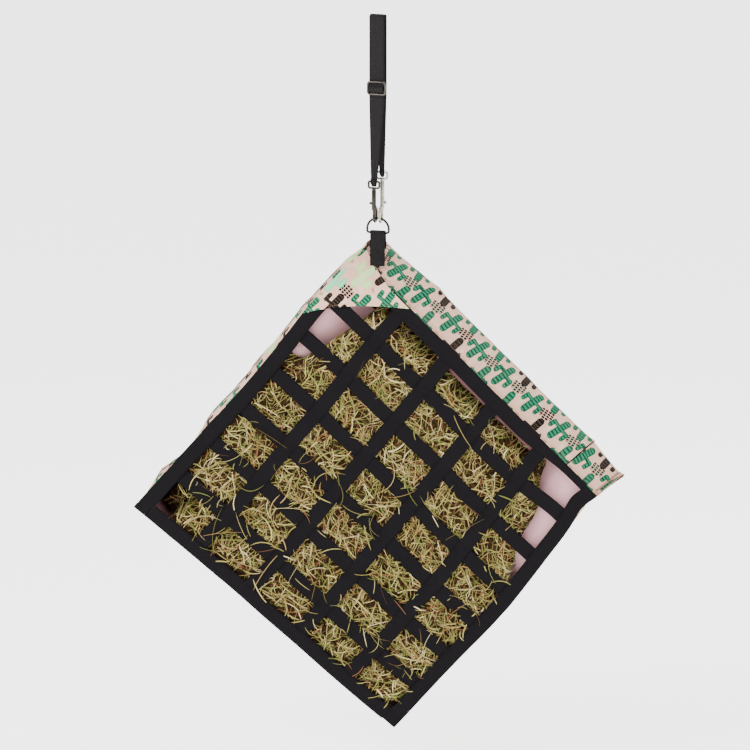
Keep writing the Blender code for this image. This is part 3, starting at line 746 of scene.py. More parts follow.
def cloth_sheet(name, outer, flat, material, thick=1.0, outward=1.0):
    """A closed sheet of cloth, from the grid of world points on its outer side."""
    inner = outer - normals_of(outer) * thick * outward
    rows, columns = outer.shape[:2]
    count = rows * columns
    faces = grid_faces(rows, columns)
    faces += [face[::-1] for face in grid_faces(rows, columns, count)]
    faces += rim_faces(rows, columns)
    if outward < 0:
        faces = [face[::-1] for face in faces]
    points = np.concatenate([outer.reshape(-1, 3), inner.reshape(-1, 3)])
    cloth = np.concatenate([flat.reshape(-1, 2)] * 2)
    return make_piece(name, points, faces, material, cloth)


def band(name, centres, acrosses, normals, widths, material, shift=0.0):
    """Webbing swept along world points, thinner towards its selvedges.

    Its weave starts at shift, so that no two bands match.
    """
    face = [(share, 0.5 - abs(share * 2) ** 6 * 0.225) for share in np.linspace(-0.5, 0.5, 9)]
    profile = face + [(share, -lift) for share, lift in face[::-1]]
    centres = np.asarray(centres, float)
    steps = np.linalg.norm(np.diff(centres, axis=0), axis=1)
    run = np.concatenate([[0], np.cumsum(steps)]) + shift
    points = []
    cloth = []
    for centre, across, normal, width, at in zip(centres, acrosses, normals, widths, run):
        for share, lift in profile:
            points.append(centre + across * share * width + normal * lift * THICK)
            cloth.append((at, share * WEBBING))
    columns = len(profile)
    faces = grid_faces(len(centres), columns, wrap=True)
    faces.append(tuple(range(columns))[::-1])
    faces.append(tuple(range(len(points) - columns, len(points))))
    piece = make_piece(name, points, faces, material, cloth, sharp_deg=60)
    fix_normals(piece)
    return piece


def crosswise(centres):
    """The directions across and out of webbing that lies across X along centres."""
    across = np.tile((1.0, 0.0, 0.0), (len(centres), 1))
    normals = np.cross(np.gradient(centres, axis=0), across)
    return across, normals / np.linalg.norm(normals, axis=1, keepdims=True)


def fix_normals(piece):
    """Turns every face of a closed mesh outwards."""
    shape = bmesh.new()
    shape.from_mesh(piece.data)
    bmesh.ops.recalc_face_normals(shape, faces=shape.faces)
    shape.to_mesh(piece.data)
    shape.free()


def tube(path, radius, sides=16, closed=False):
    """Points and faces of a round bar along a path that lies in one plane, or nearly."""
    path = np.asarray(path, float)
    count = len(path)
    if closed:
        tangent = np.roll(path, -1, axis=0) - np.roll(path, 1, axis=0)
    else:
        tangent = np.gradient(path, axis=0)
    tangent /= np.linalg.norm(tangent, axis=1, keepdims=True)
    normal = np.linalg.svd(path - path.mean(axis=0))[2][2]
    side = np.cross(tangent, normal)
    side /= np.linalg.norm(side, axis=1, keepdims=True)
    angles = np.linspace(0, 2 * math.pi, sides, endpoint=False)
    ring = side[:, None] * np.cos(angles)[None, :, None]
    ring = ring + normal * np.sin(angles)[None, :, None]
    points = (path[:, None] + ring * radius).reshape(-1, 3)
    faces = grid_faces(count, sides, wrap=True)
    if closed:
        last = (count - 1) * sides
        for j in range(sides):
            after = (j + 1) % sides
            faces.append((last + j, last + after, after, j))
    else:
        faces.append(tuple(range(sides))[::-1])
        faces.append(tuple(range(len(points) - sides, len(points))))
    return points, faces


def gather(*shapes):
    """Several (points, faces) as one."""
    points = []
    faces = []
    for more, its_faces in shapes:
        start = sum(len(part) for part in points)
        points.append(np.asarray(more, float))
        faces += [tuple(start + k for k in face) for face in its_faces]
    return np.concatenate(points), faces


def blades(name, lines, widths, lift=0.4):
    """Many thin blades of hay. lines is (blade, point, xyz) in world millimetres."""
    count, steps = lines.shape[:2]
    tangent = np.gradient(lines, axis=1)
    tangent /= np.linalg.norm(tangent, axis=2, keepdims=True)
    side = np.cross(tangent, DEPTH)
    side /= np.maximum(np.linalg.norm(side, axis=2, keepdims=True), 1e-6)
    top = np.cross(side, tangent)
    taper = 1 - np.abs(np.linspace(-0.75, 1, steps)) ** 4 * 0.75
    half = widths[:, None, None] * taper[None, :, None] / 2
    corners = np.stack([lines - side * half, lines + side * half, lines - top * half * lift * 2], axis=2)
    points = corners.reshape(-1, 3)
    faces = []
    for blade in range(count):
        start = blade * steps * 3
        faces += grid_faces(steps, 3, start, wrap=True)
        faces.append((start + 2, start + 1, start))
        end = start + (steps - 1) * 3
        faces.append((end, end + 1, end + 2))
    ride(make_piece(name, points, faces, HAY, sharp_deg=80))


STITCH_SHARE = 0.68  # of its pitch that a stitch takes up
THREAD_RADIUS = 0.33
# The faces of a stitch, which has two ends, 0 and 1, and four points round its middle.
STITCH_FACES = [(0, 2, 3), (0, 3, 4), (0, 4, 5), (0, 5, 2), (1, 3, 2), (1, 4, 3), (1, 5, 4), (1, 2, 5)]


def stitches(name, rows, material, body="bag", pitch=3.2):
    """Rows of thread, each row (points, normals) in world millimetres along a seam."""
    shapes = []
    for points, normals in rows:
        points = np.asarray(points, float)
        steps = np.linalg.norm(np.diff(points, axis=0), axis=1)
        run = np.concatenate([[0], np.cumsum(steps)])
        marks = np.arange(pitch / 2, run[-1], pitch)
        for mark in marks:
            ends = []
            for at in (mark - pitch * STITCH_SHARE / 2, mark + pitch * STITCH_SHARE / 2):
                ends.append([np.interp(at, run, points[:, k]) for k in range(3)])
            one, other = np.array(ends)
            normal = np.array([np.interp(mark, run, normals[:, k]) for k in range(3)])
            along = other - one
            side = np.cross(along, normal)
            side = side / max(np.linalg.norm(side), 1e-9) * THREAD_RADIUS
            up = normal / max(np.linalg.norm(normal), 1e-9) * THREAD_RADIUS
            middle = (one + other) / 2 + up * 0.6
            bead = [one - up * 0.4, other - up * 0.4]
            bead += [middle + side, middle + up * 0.7, middle - side, middle - up]
            shapes.append((bead, STITCH_FACES))
    points, faces = gather(*shapes)
    piece = make_piece(name, points, faces, material)
    fix_normals(piece)
    ride(piece, body=body)


# --- the bag's surfaces ---------------------------------------------------------------------------


def pinched(distance):
    """How far the front is drawn back, at this distance from the top corner."""
    return PINCH * np.clip(1 - distance / CORNER_CUT, 0, 1) ** PINCH_POWER


def net_bulge(x, z):
    """How far the load pushes the net forward."""
    dome = (1 - (x / HALF) ** 2) * (1 - (z / HALF) ** 2)
    return 5.5 * np.clip(dome, 0, 1) ** 0.7 + 1.3 * ripple(x, z, 190, SEED)


def side_grid(start, end, spacing=6.0, columns=26, fold=None):
    """Distances along a side and shares of its depth, with close rows at the seam and at a fold."""
    rows = max(int((end - start) / spacing), 4)
    distances = np.linspace(start, end, rows)
    if fold:
        distances = np.sort(np.concatenate([distances, fold + np.linspace(-2, 2, 7)]))
    seam = np.array((0.0, 3.0, 6.4, 7.2, 8.0, 8.8, 10.0)) / SIDE_DEPTH
    shares = np.concatenate([seam, np.linspace(0.1, 1, columns - len(seam))])
    return np.meshgrid(distances, shares, indexing="ij")


def crest(distance, share, height):
    """The outward fold of a slack side panel, rounded along its crest."""
    fold = 1 - np.abs(2 * share - 1) ** 1.5
    return height * np.clip(distance / CORNER_CUT, 0, 1) * fold


def side_depth(distance, share):
    """y across an upper side, whose front edge is drawn back at the top corner."""
    front = SIDE_FRONT + pinched(distance)
    return front + (SIDE_BACK - front) * share


def slack(distance, share, amount, seed):
    """Soft folds of a side panel. They die out at its sewn edges."""
    hold = np.sin(math.pi * np.clip(share, 0.02, 0.98)) ** 0.6
    cross = ripple(distance, share * 60, 75, seed)
    fine = ripple(distance, share * 90, 28, seed + 1)
    return amount * hold * (cross + 0.28 * fine)


def seam_dip(share):
    """The groove along the folded strip at the front edge."""
    return -1.7 * hump(share * SIDE_DEPTH, SEAM, 1.1)


def upper_right_surface(start, end):
    """Part of the upper right side, and its place on the flat cloth.

    It is filled out by the hay, rises early from the top corner, and its two parts stand a little
    apart where the flap ends.
    """
    fold = END_FOLD if end > END_FOLD > start else None
    distance, share = side_grid(start, end, fold=fold)
    y = side_depth(distance, share)
    lifted = 1.4 * smooth(FLAP_END - 60, FLAP_END, distance) * (distance <= FLAP_END)
    settled = -1.6 * smooth(FLAP_END, FLAP_END + 2, distance) * (distance > FLAP_END)
    filled = 5.0 * smooth(0, 60, distance) * (1 - smooth(450, 560, distance)) * np.sin(math.pi * share)
    early = CORNER_CUT * (np.clip(distance, 0, CORNER_CUT) / CORNER_CUT) ** 0.5
    out = crest(np.maximum(distance, early), share, RIGHT_CREST) + seam_dip(share) + filled
    out = out + slack(distance, share, 1.1, 21) - 1.8 * hump(distance, END_FOLD, 1.1)
    z = HALF + out + (lifted + settled) * smooth(0.03, 0.2, share)
    x = distance - HALF
    return points_from(x, y, z), points_from(-x, -share * PRINTED_DEPTH)


def make_upper_right():
    """The upper right side in three: its two sewn ends and the flap between them."""
    pieces = (
        ("upper_right_top_cloth", "upper_right_top_end", "bag", 1.4, FLAP_START - 0.3),
        ("flap_cloth", "closure_flap", "flap", FLAP_START + 0.3, FLAP_END - 1.2),
        ("upper_right_end_cloth", "upper_right_end", "bag", FLAP_END + 1.4, 2 * HALF - 1.4),
    )
    for name, node, body, start, end in pieces:
        surface, flat = upper_right_surface(start, end)
        outer = draped(surface, 0.012, 2.5)
        ride(cloth_sheet(name, outer, flat, PRINT), node, body=body)
        if body == "flap":
            make_flap_layers(outer, flat)
        if end > END_FOLD:
            make_end_piping(outer)
        out = normals_of(outer)
        rows = [(outer[:, k] + out[:, k] * 0.1, out[:, k]) for k in (2, 6)]
        stitches(name.replace("cloth", "stitches"), rows, SAND_THREAD, body)


def make_end_piping(outer):
    """Two cords along the sewn end of the upper right side."""
    out = normals_of(outer)
    for number, (row, lift) in enumerate(((-1, 0.4), (-3, 0.8))):
        edge = outer[row, 2:] + out[row, 2:] * lift
        cord = make_piece(f"end_piping_{number}", *tube(edge, 0.9, 8), SAND_THREAD)
        fix_normals(cord)
        ride(cord)


def make_flap_shadow_sheets():
    """Dark webbing behind each end of the flap, so that no light shows through the gap: painted shadow, a
    dark sheet where there is only shade.
    """
    for name, place in (("flap_start_shadow_sheet", FLAP_START), ("flap_end_shadow_sheet", FLAP_END)):
        surface, flat = upper_right_surface(place - 12, place + 9)
        outer = to_world(surface)
        outer = outer - normals_of(outer) * 5.0
        ride(cloth_sheet(name, outer[:, 3:-3], flat[:, 3:-3], WEB, 0.8))


def make_flap_layers(outer, flat):
    """What lies under the flap: its pink facing, its hooked tape and the looped tape on the bag."""
    out = normals_of(outer)
    facing = cloth_sheet("flap_facing_cloth", outer - out * 1.05, flat, PINK, 0.6)
    ride(facing, "flap_lining", body="flap")
    columns = slice(3, 13)
    rows = slice(2, -2)
    tapes = (("flap_hook_pile", "flap_hook_tape", "flap", 1.7), ("loop_pile", "loop_tape", "bag", 2.75))
    for name, node, body, drop in tapes:
        strip = (outer - out * drop)[rows, columns]
        ride(cloth_sheet(name, strip, flat[rows, columns], TAPE, 0.9), node, body=body)


# How far the upper left side stands out, at distances from the top corner.
LEFT_FOLD = (
    (0, 9), (45, 18), (126, 19), (300, 21), (385, 19),
    (436, 5), (470, 9), (500, 17), (535, 9), (560, 2),
)


def make_upper_left():
    """The slack upper left side, folded outwards along its middle."""
    distance, share = side_grid(0, 2 * HALF)
    y = side_depth(distance, share)
    height = np.interp(distance, *zip(*LEFT_FOLD))
    out = crest(CORNER_CUT, share ** 0.7, 1.0) * height + slack(distance, share, 1.8, 31)
    out = out + seam_dip(share)
    outer = draped(points_from(-HALF - out, y, HALF - distance), 0.02, 4.0)
    flat = points_from(-HALF - share * SIDE_DEPTH, HALF - distance)
    piece = cloth_sheet("upper_left_cloth", outer, flat, PRINT, outward=-1.0)
    ride(piece, "gusset_upper_left")


def back_edge_inset(z):
    """How far the back panel's right edge is drawn in below the right hand corner."""
    return 20.0 * smooth(0, 32, HALF - z)


def make_lower_right():
    """The lower right side, drawn in between the net and the back panel."""
    distance, share = side_grid(0, 2 * HALF)
    z = HALF - distance
    drawn_in = smooth(-10, 45, distance) * (1 - smooth(2 * HALF - 110, 2 * HALF, distance))
    x = HALF - back_edge_inset(z) * share - 9 * np.sin(math.pi * share) * drawn_in
    x = x - np.abs(slack(distance, share, 3.0, 41)) * drawn_in
    y = SIDE_FRONT + (SIDE_BACK - SIDE_FRONT) * share
    flat = points_from(HALF + share * SIDE_DEPTH, z)
    piece = cloth_sheet("lower_right_cloth", to_world(points_from(x, y, z)), flat, PRINT)
    ride(piece, "gusset_lower_right")


def make_lower_left():
    """The lower left side, pushed out by the load."""
    distance, share = side_grid(0, 2 * HALF)
    reach = HALF - 1.4
    x = -reach + distance / (2 * HALF) * (2 * reach - back_edge_inset(-HALF) * share)
    out = 7 * np.sin(math.pi * share) * np.sin(math.pi * distance / (2 * HALF)) ** 0.6
    z = -HALF - out - slack(distance, share, 3.0, 51)
    y = SIDE_FRONT + (SIDE_BACK - SIDE_FRONT) * share
    flat = points_from(x, -HALF - share * SIDE_DEPTH)
    outer = draped(points_from(x, y, z), 0.02, 4.0)
    ride(cloth_sheet("lower_left_cloth", outer, flat, PRINT, outward=-1.0), "gusset_lower_left")


def back_surface(inset, y):
    """A grid over the back, crowned a little and creased from the top corner."""
    rows = 90
    u, v = np.meshgrid(np.linspace(-1, 1, rows), np.linspace(-1, 1, rows), indexing="ij")
    z = v * (HALF - inset)
    right = HALF - inset - back_edge_inset(z)
    left = -(HALF - inset)
    x = left + (u + 1) / 2 * (right - left)
    hold = ((1 - u ** 4) * (1 - v ** 4)) ** 0.8
    crown = 5.0 * hold + hold * (2.0 * ripple(x, z, 230, 61) + 1.0 * ripple(x, z, 90, 62))
    corner = np.hypot(x + HALF, HALF - z)
    angle = np.arctan2(HALF - z, x + HALF)
    pull = 2.2 * np.sin(angle * 16) * np.exp(-corner / 130) * hold
    roll = 5.0 * np.maximum(np.abs(u), np.abs(v)) ** 24
    return points_from(x, y + crown + pull - roll, z), points_from(-x, z)


def make_back():
    """The printed back panel."""
    surface, flat = back_surface(0.0, BACK - 0.5)
    piece = cloth_sheet("back_cloth", draped(surface, 0.015, 8.0), flat, PRINT, outward=-1.0)
    ride(piece, "back_panel")


def corner_rise(x, z):
    """Depth of the cloth over the top corner: the net's bulge, drawn back to the tab."""
    distance = 2 * HALF - (z - x)
    return FRONT - net_bulge(x, z) * np.clip(distance / CORNER_CUT, 0, 1) + pinched(distance)


def make_corner():
    """The printed corner piece, with creases that run from under the tab."""
    rows, columns = 44, 60
    down, across = np.meshgrid(np.linspace(0, 1, rows), np.linspace(0, 1, columns), indexing="ij")
    reach = 135.0 - 9.0 * across - 5.0 * np.sin(math.pi * across)
    distance = 4.0 + (reach - 4.0) * down
    x = -HALF + distance * across
    z = HALF - distance * (1 - across)
    y = corner_rise(x, z) - 1.9
    fan = np.sin(across * 15 + 0.8) * np.exp(-(distance / 70) ** 2) * smooth(0, 40, distance)
    hang = 1.2 * ripple(x, z, 70, 71) * smooth(10, 60, distance) * smooth(1.0, 0.85, down)
    y = y - 1.2 + 1.8 * fan + hang
    surface = points_from(x, y, z)
    flat = points_from(x - PRINT_COLUMN, z)
    ride(cloth_sheet("corner_cloth", to_world(surface), flat, PRINT), "corner_piece")
    hem = to_world(surface[-3])
    stitches("corner_hem_stitches", [(hem, facing_front(hem))], SAND_THREAD)


def facing_front(points):
    """A normal towards the front for each point."""
    return np.tile((0.0, -1.0, 0.0), (len(points), 1))


def make_linings():
    """The pink lining: a back sheet and three walls, each hanging a little loose."""
    surface, flat = back_surface(3.0, BACK - 3.2)
    back = cloth_sheet("lining_back_cloth", to_world(surface - (0, 6, 0)), flat, PINK, 0.6, -1.0)
    ride(back, "lining")
    for number, wall in enumerate(("left", "lower", "right")):
        distance, share = side_grid(0 if wall == "lower" else 4, 2 * HALF - 4, 10.0, 17)
        front = FRONT + 5.5 + pinched(distance) * (wall == "left")
        y = front + (BACK - 8 - front) * share
        loose = 2.5 + np.abs(slack(distance, share, 2.5, 80 + number))
        along = HALF - distance
        if wall == "left":
            surface = points_from(-HALF + 2.5 + loose * 0.5, y, along)
        elif wall == "lower":
            right_end = HALF - 8 - (back_edge_inset(-HALF) + 2) * share
            x = np.minimum(np.maximum(along, 6 - HALF), right_end)
            surface = points_from(x, y, -HALF + 3 + loose)
        else:
            drawn_in = 9 * np.sin(math.pi * share) * smooth(0, 90, distance)
            inset = back_edge_inset(along) * share + drawn_in
            surface = points_from(HALF - 4 - loose * 1.6 - inset, y, along)
        flat = points_from(distance, share * 150)
        ride(cloth_sheet(f"lining_{wall}_cloth", to_world(surface), flat, PINK, 0.6))


def make_lining_fold(name, side, low, high, reach):
    """Slack lining that lies forward against the net where there is no hay behind it.

    It hangs from the wall on a side, -1 for left and 1 for right, from low to high, and reaches in.
    """
    inward, along = np.meshgrid(np.linspace(0, 1, 30), np.linspace(0, 1, 40), indexing="ij")
    z = low + (high - low) * along
    x = side * (HALF - 9 - reach * inward)
    deep = 13 + 34 * smooth(0.25, 1.0, inward) + 40 * smooth(0.35, 0.0, along)
    y = FRONT + deep + 2.2 * ripple(x, z, 110, 101 + side) - net_bulge(x, z) * 0.3
    y = y + pinched(2 * HALF - (z - x)) * (side < 0) * 0.6
    surface = points_from(x, y, z)
    ride(cloth_sheet(name, to_world(surface), points_from(x, z), PINK, 0.6, side))


def make_lining_hem():
    """The raw edge of the lining, just inside the upper right border, in a dark pink that is painted
    shade.
    """
    distance, share = np.meshgrid(np.linspace(-70, 150, 60), np.linspace(0, 1, 5), indexing="ij")
    droop = 2.2 + 1.8 * ripple(distance, 0 * distance, 70, 111)
    z = HALF - WEBBING + 3 - (8 + droop) * share
    y = FRONT + 3.5 + 2.0 * share + 1.0 * ripple(distance, share, 40, 112)
    surface = points_from(distance, y, z)
    flat = points_from(distance, z)
    ride(cloth_sheet("lining_hem", to_world(surface), flat, SHADED_PINK, 0.6))


# --- the net ------------------------------------------------------------------------------------


def strap_places(count):
    """Middle lines of evenly spaced straps between the borders."""
    inner = HALF - WEBBING
    opening = (2 * inner - count * WEBBING) / (count + 1)
    return [-inner + opening + WEBBING / 2 + k * (opening + WEBBING) for k in range(count)]


LONG_PLACES = strap_places(LONG_STRAPS)
CROSS_PLACES = strap_places(CROSS_STRAPS)


def window_share(value, places):
    """0 on a strap's middle line and 1 half way to the next."""
    lines = np.array([-HALF + WEBBING / 2, *places, HALF - WEBBING / 2])
    gap = lines[1] - lines[0]
    away = np.min(np.abs(np.asarray(value)[..., None] - lines), axis=-1)
    return np.clip(away / (gap / 2), 0, 1)


def net_band(name, start, end, layer, seed, folded=0.0):
    """One strap of the net between two points (x, z). Layer 0 is the border, 2 the rearmost.

    Its inner edge is folded under by up to the share folded of its width over the last of its run.
    """
    start = np.array(start, float)
    end = np.array(end, float)
    run = np.linalg.norm(end - start)
    steps = int(run / 4.5)
    share = np.linspace(0, 1, steps)
    line = start + (end - start) * share[:, None]
    along = (end - start) / run
    across = np.array((-along[1], along[0]))
    sway = 1.1 * ripple(share * run, 0 * share, 150, seed) * np.sin(math.pi * share)
    widths = WEBBING * (1 - folded * smooth(run - 150, run - 30, share * run))
    line = line + across * (sway + (WEBBING - widths) / 2)[:, None]
    x, z = line[:, 0], line[:, 1]
    upright = abs(along[1]) > 0.5
    between = window_share(z if upright else x, CROSS_PLACES if upright else LONG_PLACES)
    push = 1.8 * np.sin(between * math.pi / 2) ** 2 if layer else 0.4 * between
    y = FRONT - net_bulge(x, z) + THICK / 2 + layer * (THICK + 0.15) - push
    distance = 2 * HALF - (z - x)
    y = y + pinched(distance)
    tilt = 0.05 * ripple(share * run, 0 * share, 120, seed + 3)
    centres = to_world(points_from(x, y, z))
    sides = to_world(points_from(x + across[0], y, z + across[1])) - centres
    sides = sides / np.linalg.norm(sides, axis=1, keepdims=True)
    sides = sides + DEPTH * tilt[:, None]
    tangent = np.gradient(centres, axis=0)
    normals = np.cross(tangent, sides)
    normals = normals / np.linalg.norm(normals, axis=1, keepdims=True)
    normals = normals * np.where(normals[:, 1:2] < 0, 1, -1)
    ride(band(name, centres, sides, normals, widths, WEB, shift=seed * 31.0), "net_" + name)


def make_net():
    """The borders in front, then the long straps behind them, then the cross straps."""
    edge = HALF - WEBBING / 2
    full = HALF - 0.5
    top = 2 * HALF - UNDER_CORNER
    net_band("border_upper_left", (-edge, -full), (-edge, top - edge), 0, 1)
    net_band("border_lower_right", (edge, -full), (edge, full), 0, 2)
    inner = HALF - WEBBING - 0.2
    net_band("border_lower_left", (-inner, -edge), (inner, -edge), 0, 3)
    net_band("border_upper_right", (edge - top, edge), (inner, edge), 0, 4, 0.45)
    reach = HALF - 5.0
    for k, x in enumerate(LONG_PLACES):
        end = min(reach, x + top)
        net_band(f"long_strap_{k + 1}", (x, -reach), (x, end), 1, 11 + k)
    for k, z in enumerate(CROSS_PLACES):
        start = max(-reach, z - top)
        net_band(f"cross_strap_{k + 1}", (start, z), (reach, z), 2, 21 + k)


def net_row(line, behind):
    """A row of stitches along points (x, z) at a depth behind the net's front."""
    y = FRONT - net_bulge(line[:, 0], line[:, 1]) + behind
    row = to_world(points_from(line[:, 0], y, line[:, 1]))
    return row, facing_front(row)


def make_net_stitches():
    """A boxed cross of thread where straps cross, and two rows along each border."""
    rows = []
    reach = WEBBING / 2 - 3.0
    corners = np.array([(-1, -1), (1, -1), (1, 1), (-1, 1), (-1, -1), (1, 1)]) * reach
    for x in LONG_PLACES:
        for z in CROSS_PLACES:
            if 2 * HALF - (z - x) < CORNER_CUT + 30:
                continue
            line = corners + (x, z)
            fine = np.concatenate([np.linspace(p, q, 6, endpoint=False) for p, q in zip(line, line[1:])])
            rows.append(net_row(fine, THICK - 0.2))
    for inset in (3.0, WEBBING - 3.0):
        edge = HALF - inset
        start = 2 * HALF - CORNER_CUT - 12 - edge
        for line in (
            [(-edge, -edge), (-edge, start)], [(edge, -edge), (edge, edge)],
            [(-edge, -edge), (edge, -edge)], [(-start, edge), (edge, edge)],
        ):
            rows.append(net_row(np.linspace(*line, 60), -0.1))
    stitches("net_stitches", rows, BLACK_THREAD, pitch=3.6)


# --- the hay --------------------------------------------------------------------------------------


def hay_hollow(x, z):
    """1 where there is no hay, and less where it is thin.

    It is missing near the right hand and left hand corners, and thin near the top one, along the
    upper right border and at the tip of the left corner.
    """
    rough = 14 * ripple(x, z, 90, 93)
    right_gap = smooth(178, 194, x + (z - 228) * 0.38 + rough * 0.6) * smooth(40, 90, z)
    edge_gap = 0.3 * smooth(226, 246, z + rough * 0.4)
    left_gap = smooth(-208, -226, x + (152 - z) * 0.22 + rough * 0.6) * smooth(70, 110, z)
    top_gap = smooth(400, 440, z - x + rough) * 0.35
    low_left = 0.35 * smooth(-205, -235, x - (z + 230) * 0.4) * smooth(-170, -215, z)
    return np.maximum.reduce([right_gap, edge_gap, left_gap, top_gap, low_left])


def hay_front(x, z):
    """Depth of the hay's front surface. It swells in each window and falls away where it is thin."""
    swell = window_share(x, LONG_PLACES) * window_share(z, CROSS_PLACES)
    y = FRONT - net_bulge(x, z) + 9.0 - 13.0 * swell ** 0.6
    y = y + 2.6 * ripple(x, z, 34, 91) + 1.8 * ripple(x, z, 15, 92)
    return y + hay_hollow(x, z) * (BACK - 14 - y)


def make_hay_bed():
    """The body of the load: a closed lump whose front follows hay_front."""
    count = 120
    reach = HALF - 9
    u, v = np.meshgrid(np.linspace(-1, 1, count), np.linspace(-1, 1, count), indexing="ij")
    x, z = u * reach, v * reach
    rim = np.maximum(np.abs(u), np.abs(v))
    inset = back_edge_inset(z) + 14 * smooth(0, 90, HALF - z)
    x = np.minimum(x, HALF - 12 - inset)
    back = BACK - 9.0
    y = hay_front(x, z) + 4.0
    y = y + (back - 6 - y) * smooth(0.955, 1.0, rim)
    y = np.minimum(y, back - 2)
    front = points_from(x, y, z)
    rear = points_from(x, np.full_like(x, back), z)
    points = to_world(np.concatenate([front.reshape(-1, 3), rear.reshape(-1, 3)]))
    faces = [face[::-1] for face in grid_faces(count, count)]
    faces += grid_faces(count, count, count * count)
    faces += rim_faces(count, count)
    piece = make_piece("hay_bed", points, faces, HAY_BED)
    fix_normals(piece)
    ride(piece, "hay_fill")


def hay_lines(random, centres, lengths, lifts, curl=0.2, steps=6):
    """Curved lines over the hay's front, one for each centre (x, z)."""
    count = len(centres)
    angle = random.uniform(0, 2 * math.pi, count)
    bend = random.normal(0, curl, count) / lengths
    t = np.linspace(-0.5, 0.5, steps)[None, :] * lengths[:, None]
    along = points_from(np.cos(angle), np.sin(angle))
    across = points_from(-along[:, 1], along[:, 0])
    flat = centres[:, None] + along[:, None] * t[..., None]
    flat = flat + across[:, None] * (bend[:, None] * t ** 2 * 2)[..., None]
    flat = np.clip(flat, -HALF + 14, HALF - 14)
    x, z = flat[..., 0], flat[..., 1]
    rock = random.uniform(-0.16, 0.16, count)[:, None] * t
    arch = random.uniform(-3.0, 2.0, count)[:, None] * (2 * t / lengths[:, None]) ** 2
    y = hay_front(x, z) - lifts[:, None] + rock + arch
    return x, y, z


def make_hay_blades():
    """The tangle behind the net. Some blades stick out of the windows and lie on the straps."""
    random = np.random.default_rng(SEED)
    reach = HALF - WEBBING - 4
    centres = random.uniform(-reach, reach, (BLADES, 2))
    inside = 2 * HALF - (centres[:, 1] - centres[:, 0]) > CORNER_CUT - 10
    inside &= hay_hollow(centres[:, 0], centres[:, 1]) < 0.75
    centres = centres[inside]
    count = len(centres)
    low = smooth(60, -260, centres[:, 1] - centres[:, 0] * 0.6 - 60)
    swell = window_share(centres[:, 0], LONG_PLACES) * window_share(centres[:, 1], CROSS_PLACES)
    loose = (random.random(count) < 0.02 + 0.08 * low) & (swell > 0.1)
    centres = centres + np.where(loose, 1, 0)[:, None] * (4.5, -4.5) * low[:, None]
    lengths = random.gamma(4.0, 6.6, count).clip(9, 58)
    lengths = np.where(loose, lengths * 0.8, lengths)
    lifts = random.uniform(-9.0, 3.5, count)
    x, y, z = hay_lines(random, centres, lengths, lifts)
    strap_back = FRONT - net_bulge(x, z) + 2 * (THICK + 0.15) + THICK + 0.7
    strap_front = FRONT - net_bulge(x, z) - 2.2
    nearest = np.minimum(window_share(x, LONG_PLACES), window_share(z, CROSS_PLACES) * 0.72)
    covered = 1 - smooth(0.26, 0.42, nearest)
    y = np.where((covered > 0.5) & ~loose[:, None], np.maximum(y, strap_back), y)
    over = strap_front - random.uniform(0, 2.5, count)[:, None]
    y = np.where((covered > 0.3) & loose[:, None], np.minimum(y, over), y)
    y = np.maximum(y, FRONT - 13.2)
    widths = random.gamma(5.0, 0.22, count).clip(0.45, 2.3)
    lines = to_world(points_from(x, y, z))
    half = count // 2
    blades("hay_tangle", lines[:half], widths[:half])
    blades("hay_tangle_upper", lines[half:], widths[half:])


def make_hay_top():
    """Hay on the side of the load that shows when the flap is open."""
    random = np.random.default_rng(SEED + 2)
    count = TOP_BLADES
    middle = HALF - (FLAP_START + FLAP_END) / 2
    reach = (FLAP_END - FLAP_START) / 2 + 8
    x = -middle + random.uniform(-reach, reach, count)
    y = random.uniform(FRONT + 14, BACK - 20, count)
    angle = random.uniform(0, 2 * math.pi, count)
    lengths = random.gamma(4.0, 6.6, count).clip(9, 46)
    t = np.linspace(-0.5, 0.5, 6)[None, :] * lengths[:, None]
    bend = random.normal(0, 0.3, count)[:, None] * t ** 2 / lengths[:, None]
    x = x[:, None] + np.cos(angle)[:, None] * t - np.sin(angle)[:, None] * bend
    y = y[:, None] + np.sin(angle)[:, None] * t + np.cos(angle)[:, None] * bend
    y = y.clip(FRONT + 9, BACK - 14)
    arch = random.uniform(0, 3, count)[:, None] * (1 - 4 * (t / lengths[:, None]) ** 2)
    z = HALF - 11 + random.uniform(-2, 2.5, count)[:, None] + arch
    widths = random.gamma(5.0, 0.24, count).clip(0.45, 2.3)
    blades("hay_tangle_top", to_world(points_from(x, y, z)), widths)


def make_hay_stalks():
    """Long stalks that have worked out through the net and lie across its straps."""
    random = np.random.default_rng(SEED + 1)
    count = STALKS
    along = random.normal(0, 120, count)
    fall = random.normal(30, 90, count)
    centres = points_from(along + fall, along - fall).clip(-HALF + 60, HALF - 60)
    centres = centres[2 * HALF - (centres[:, 1] - centres[:, 0]) > CORNER_CUT + 40]
    centres = centres[hay_hollow(centres[:, 0], centres[:, 1]) < 0.2]
    count = len(centres)
    lengths = random.uniform(22, 80, count)
    x, _, z = hay_lines(random, centres, lengths, np.zeros(count), 0.35, 12)
    t = np.linspace(-1, 1, 12)[None, :]
    arch = random.uniform(0.5, 3.0, count)[:, None] * (1 - t ** 2)
    y = FRONT - net_bulge(x, z) - 2.6 - arch + 1.5 * np.abs(t) ** 3
    y = np.maximum(y, FRONT - 13.4)
    widths = random.uniform(0.6, 1.4, count)
    blades("hay_stalks", to_world(points_from(x, y, z)), widths, lift=0.9)


# --- the hanging strap ------------------------------------------------------------------------------

CLEAR = 0.3  # between webbing and what it lies against
EYE_BAR = 1.8  # half the thickness of each bar
RING_BAR = 2.1
SLIDER_BAR = 1.4
FRONT_GATHER = 10.0  # width of the webbing where it is gathered in each eye
REAR_GATHER = 8.0
BUNCHED_LENGTH = 135.0  # height above the eye at which the webbing is as wide as it is made
CROWN_FLAT = 6.0  # length of the flat on top of the fold


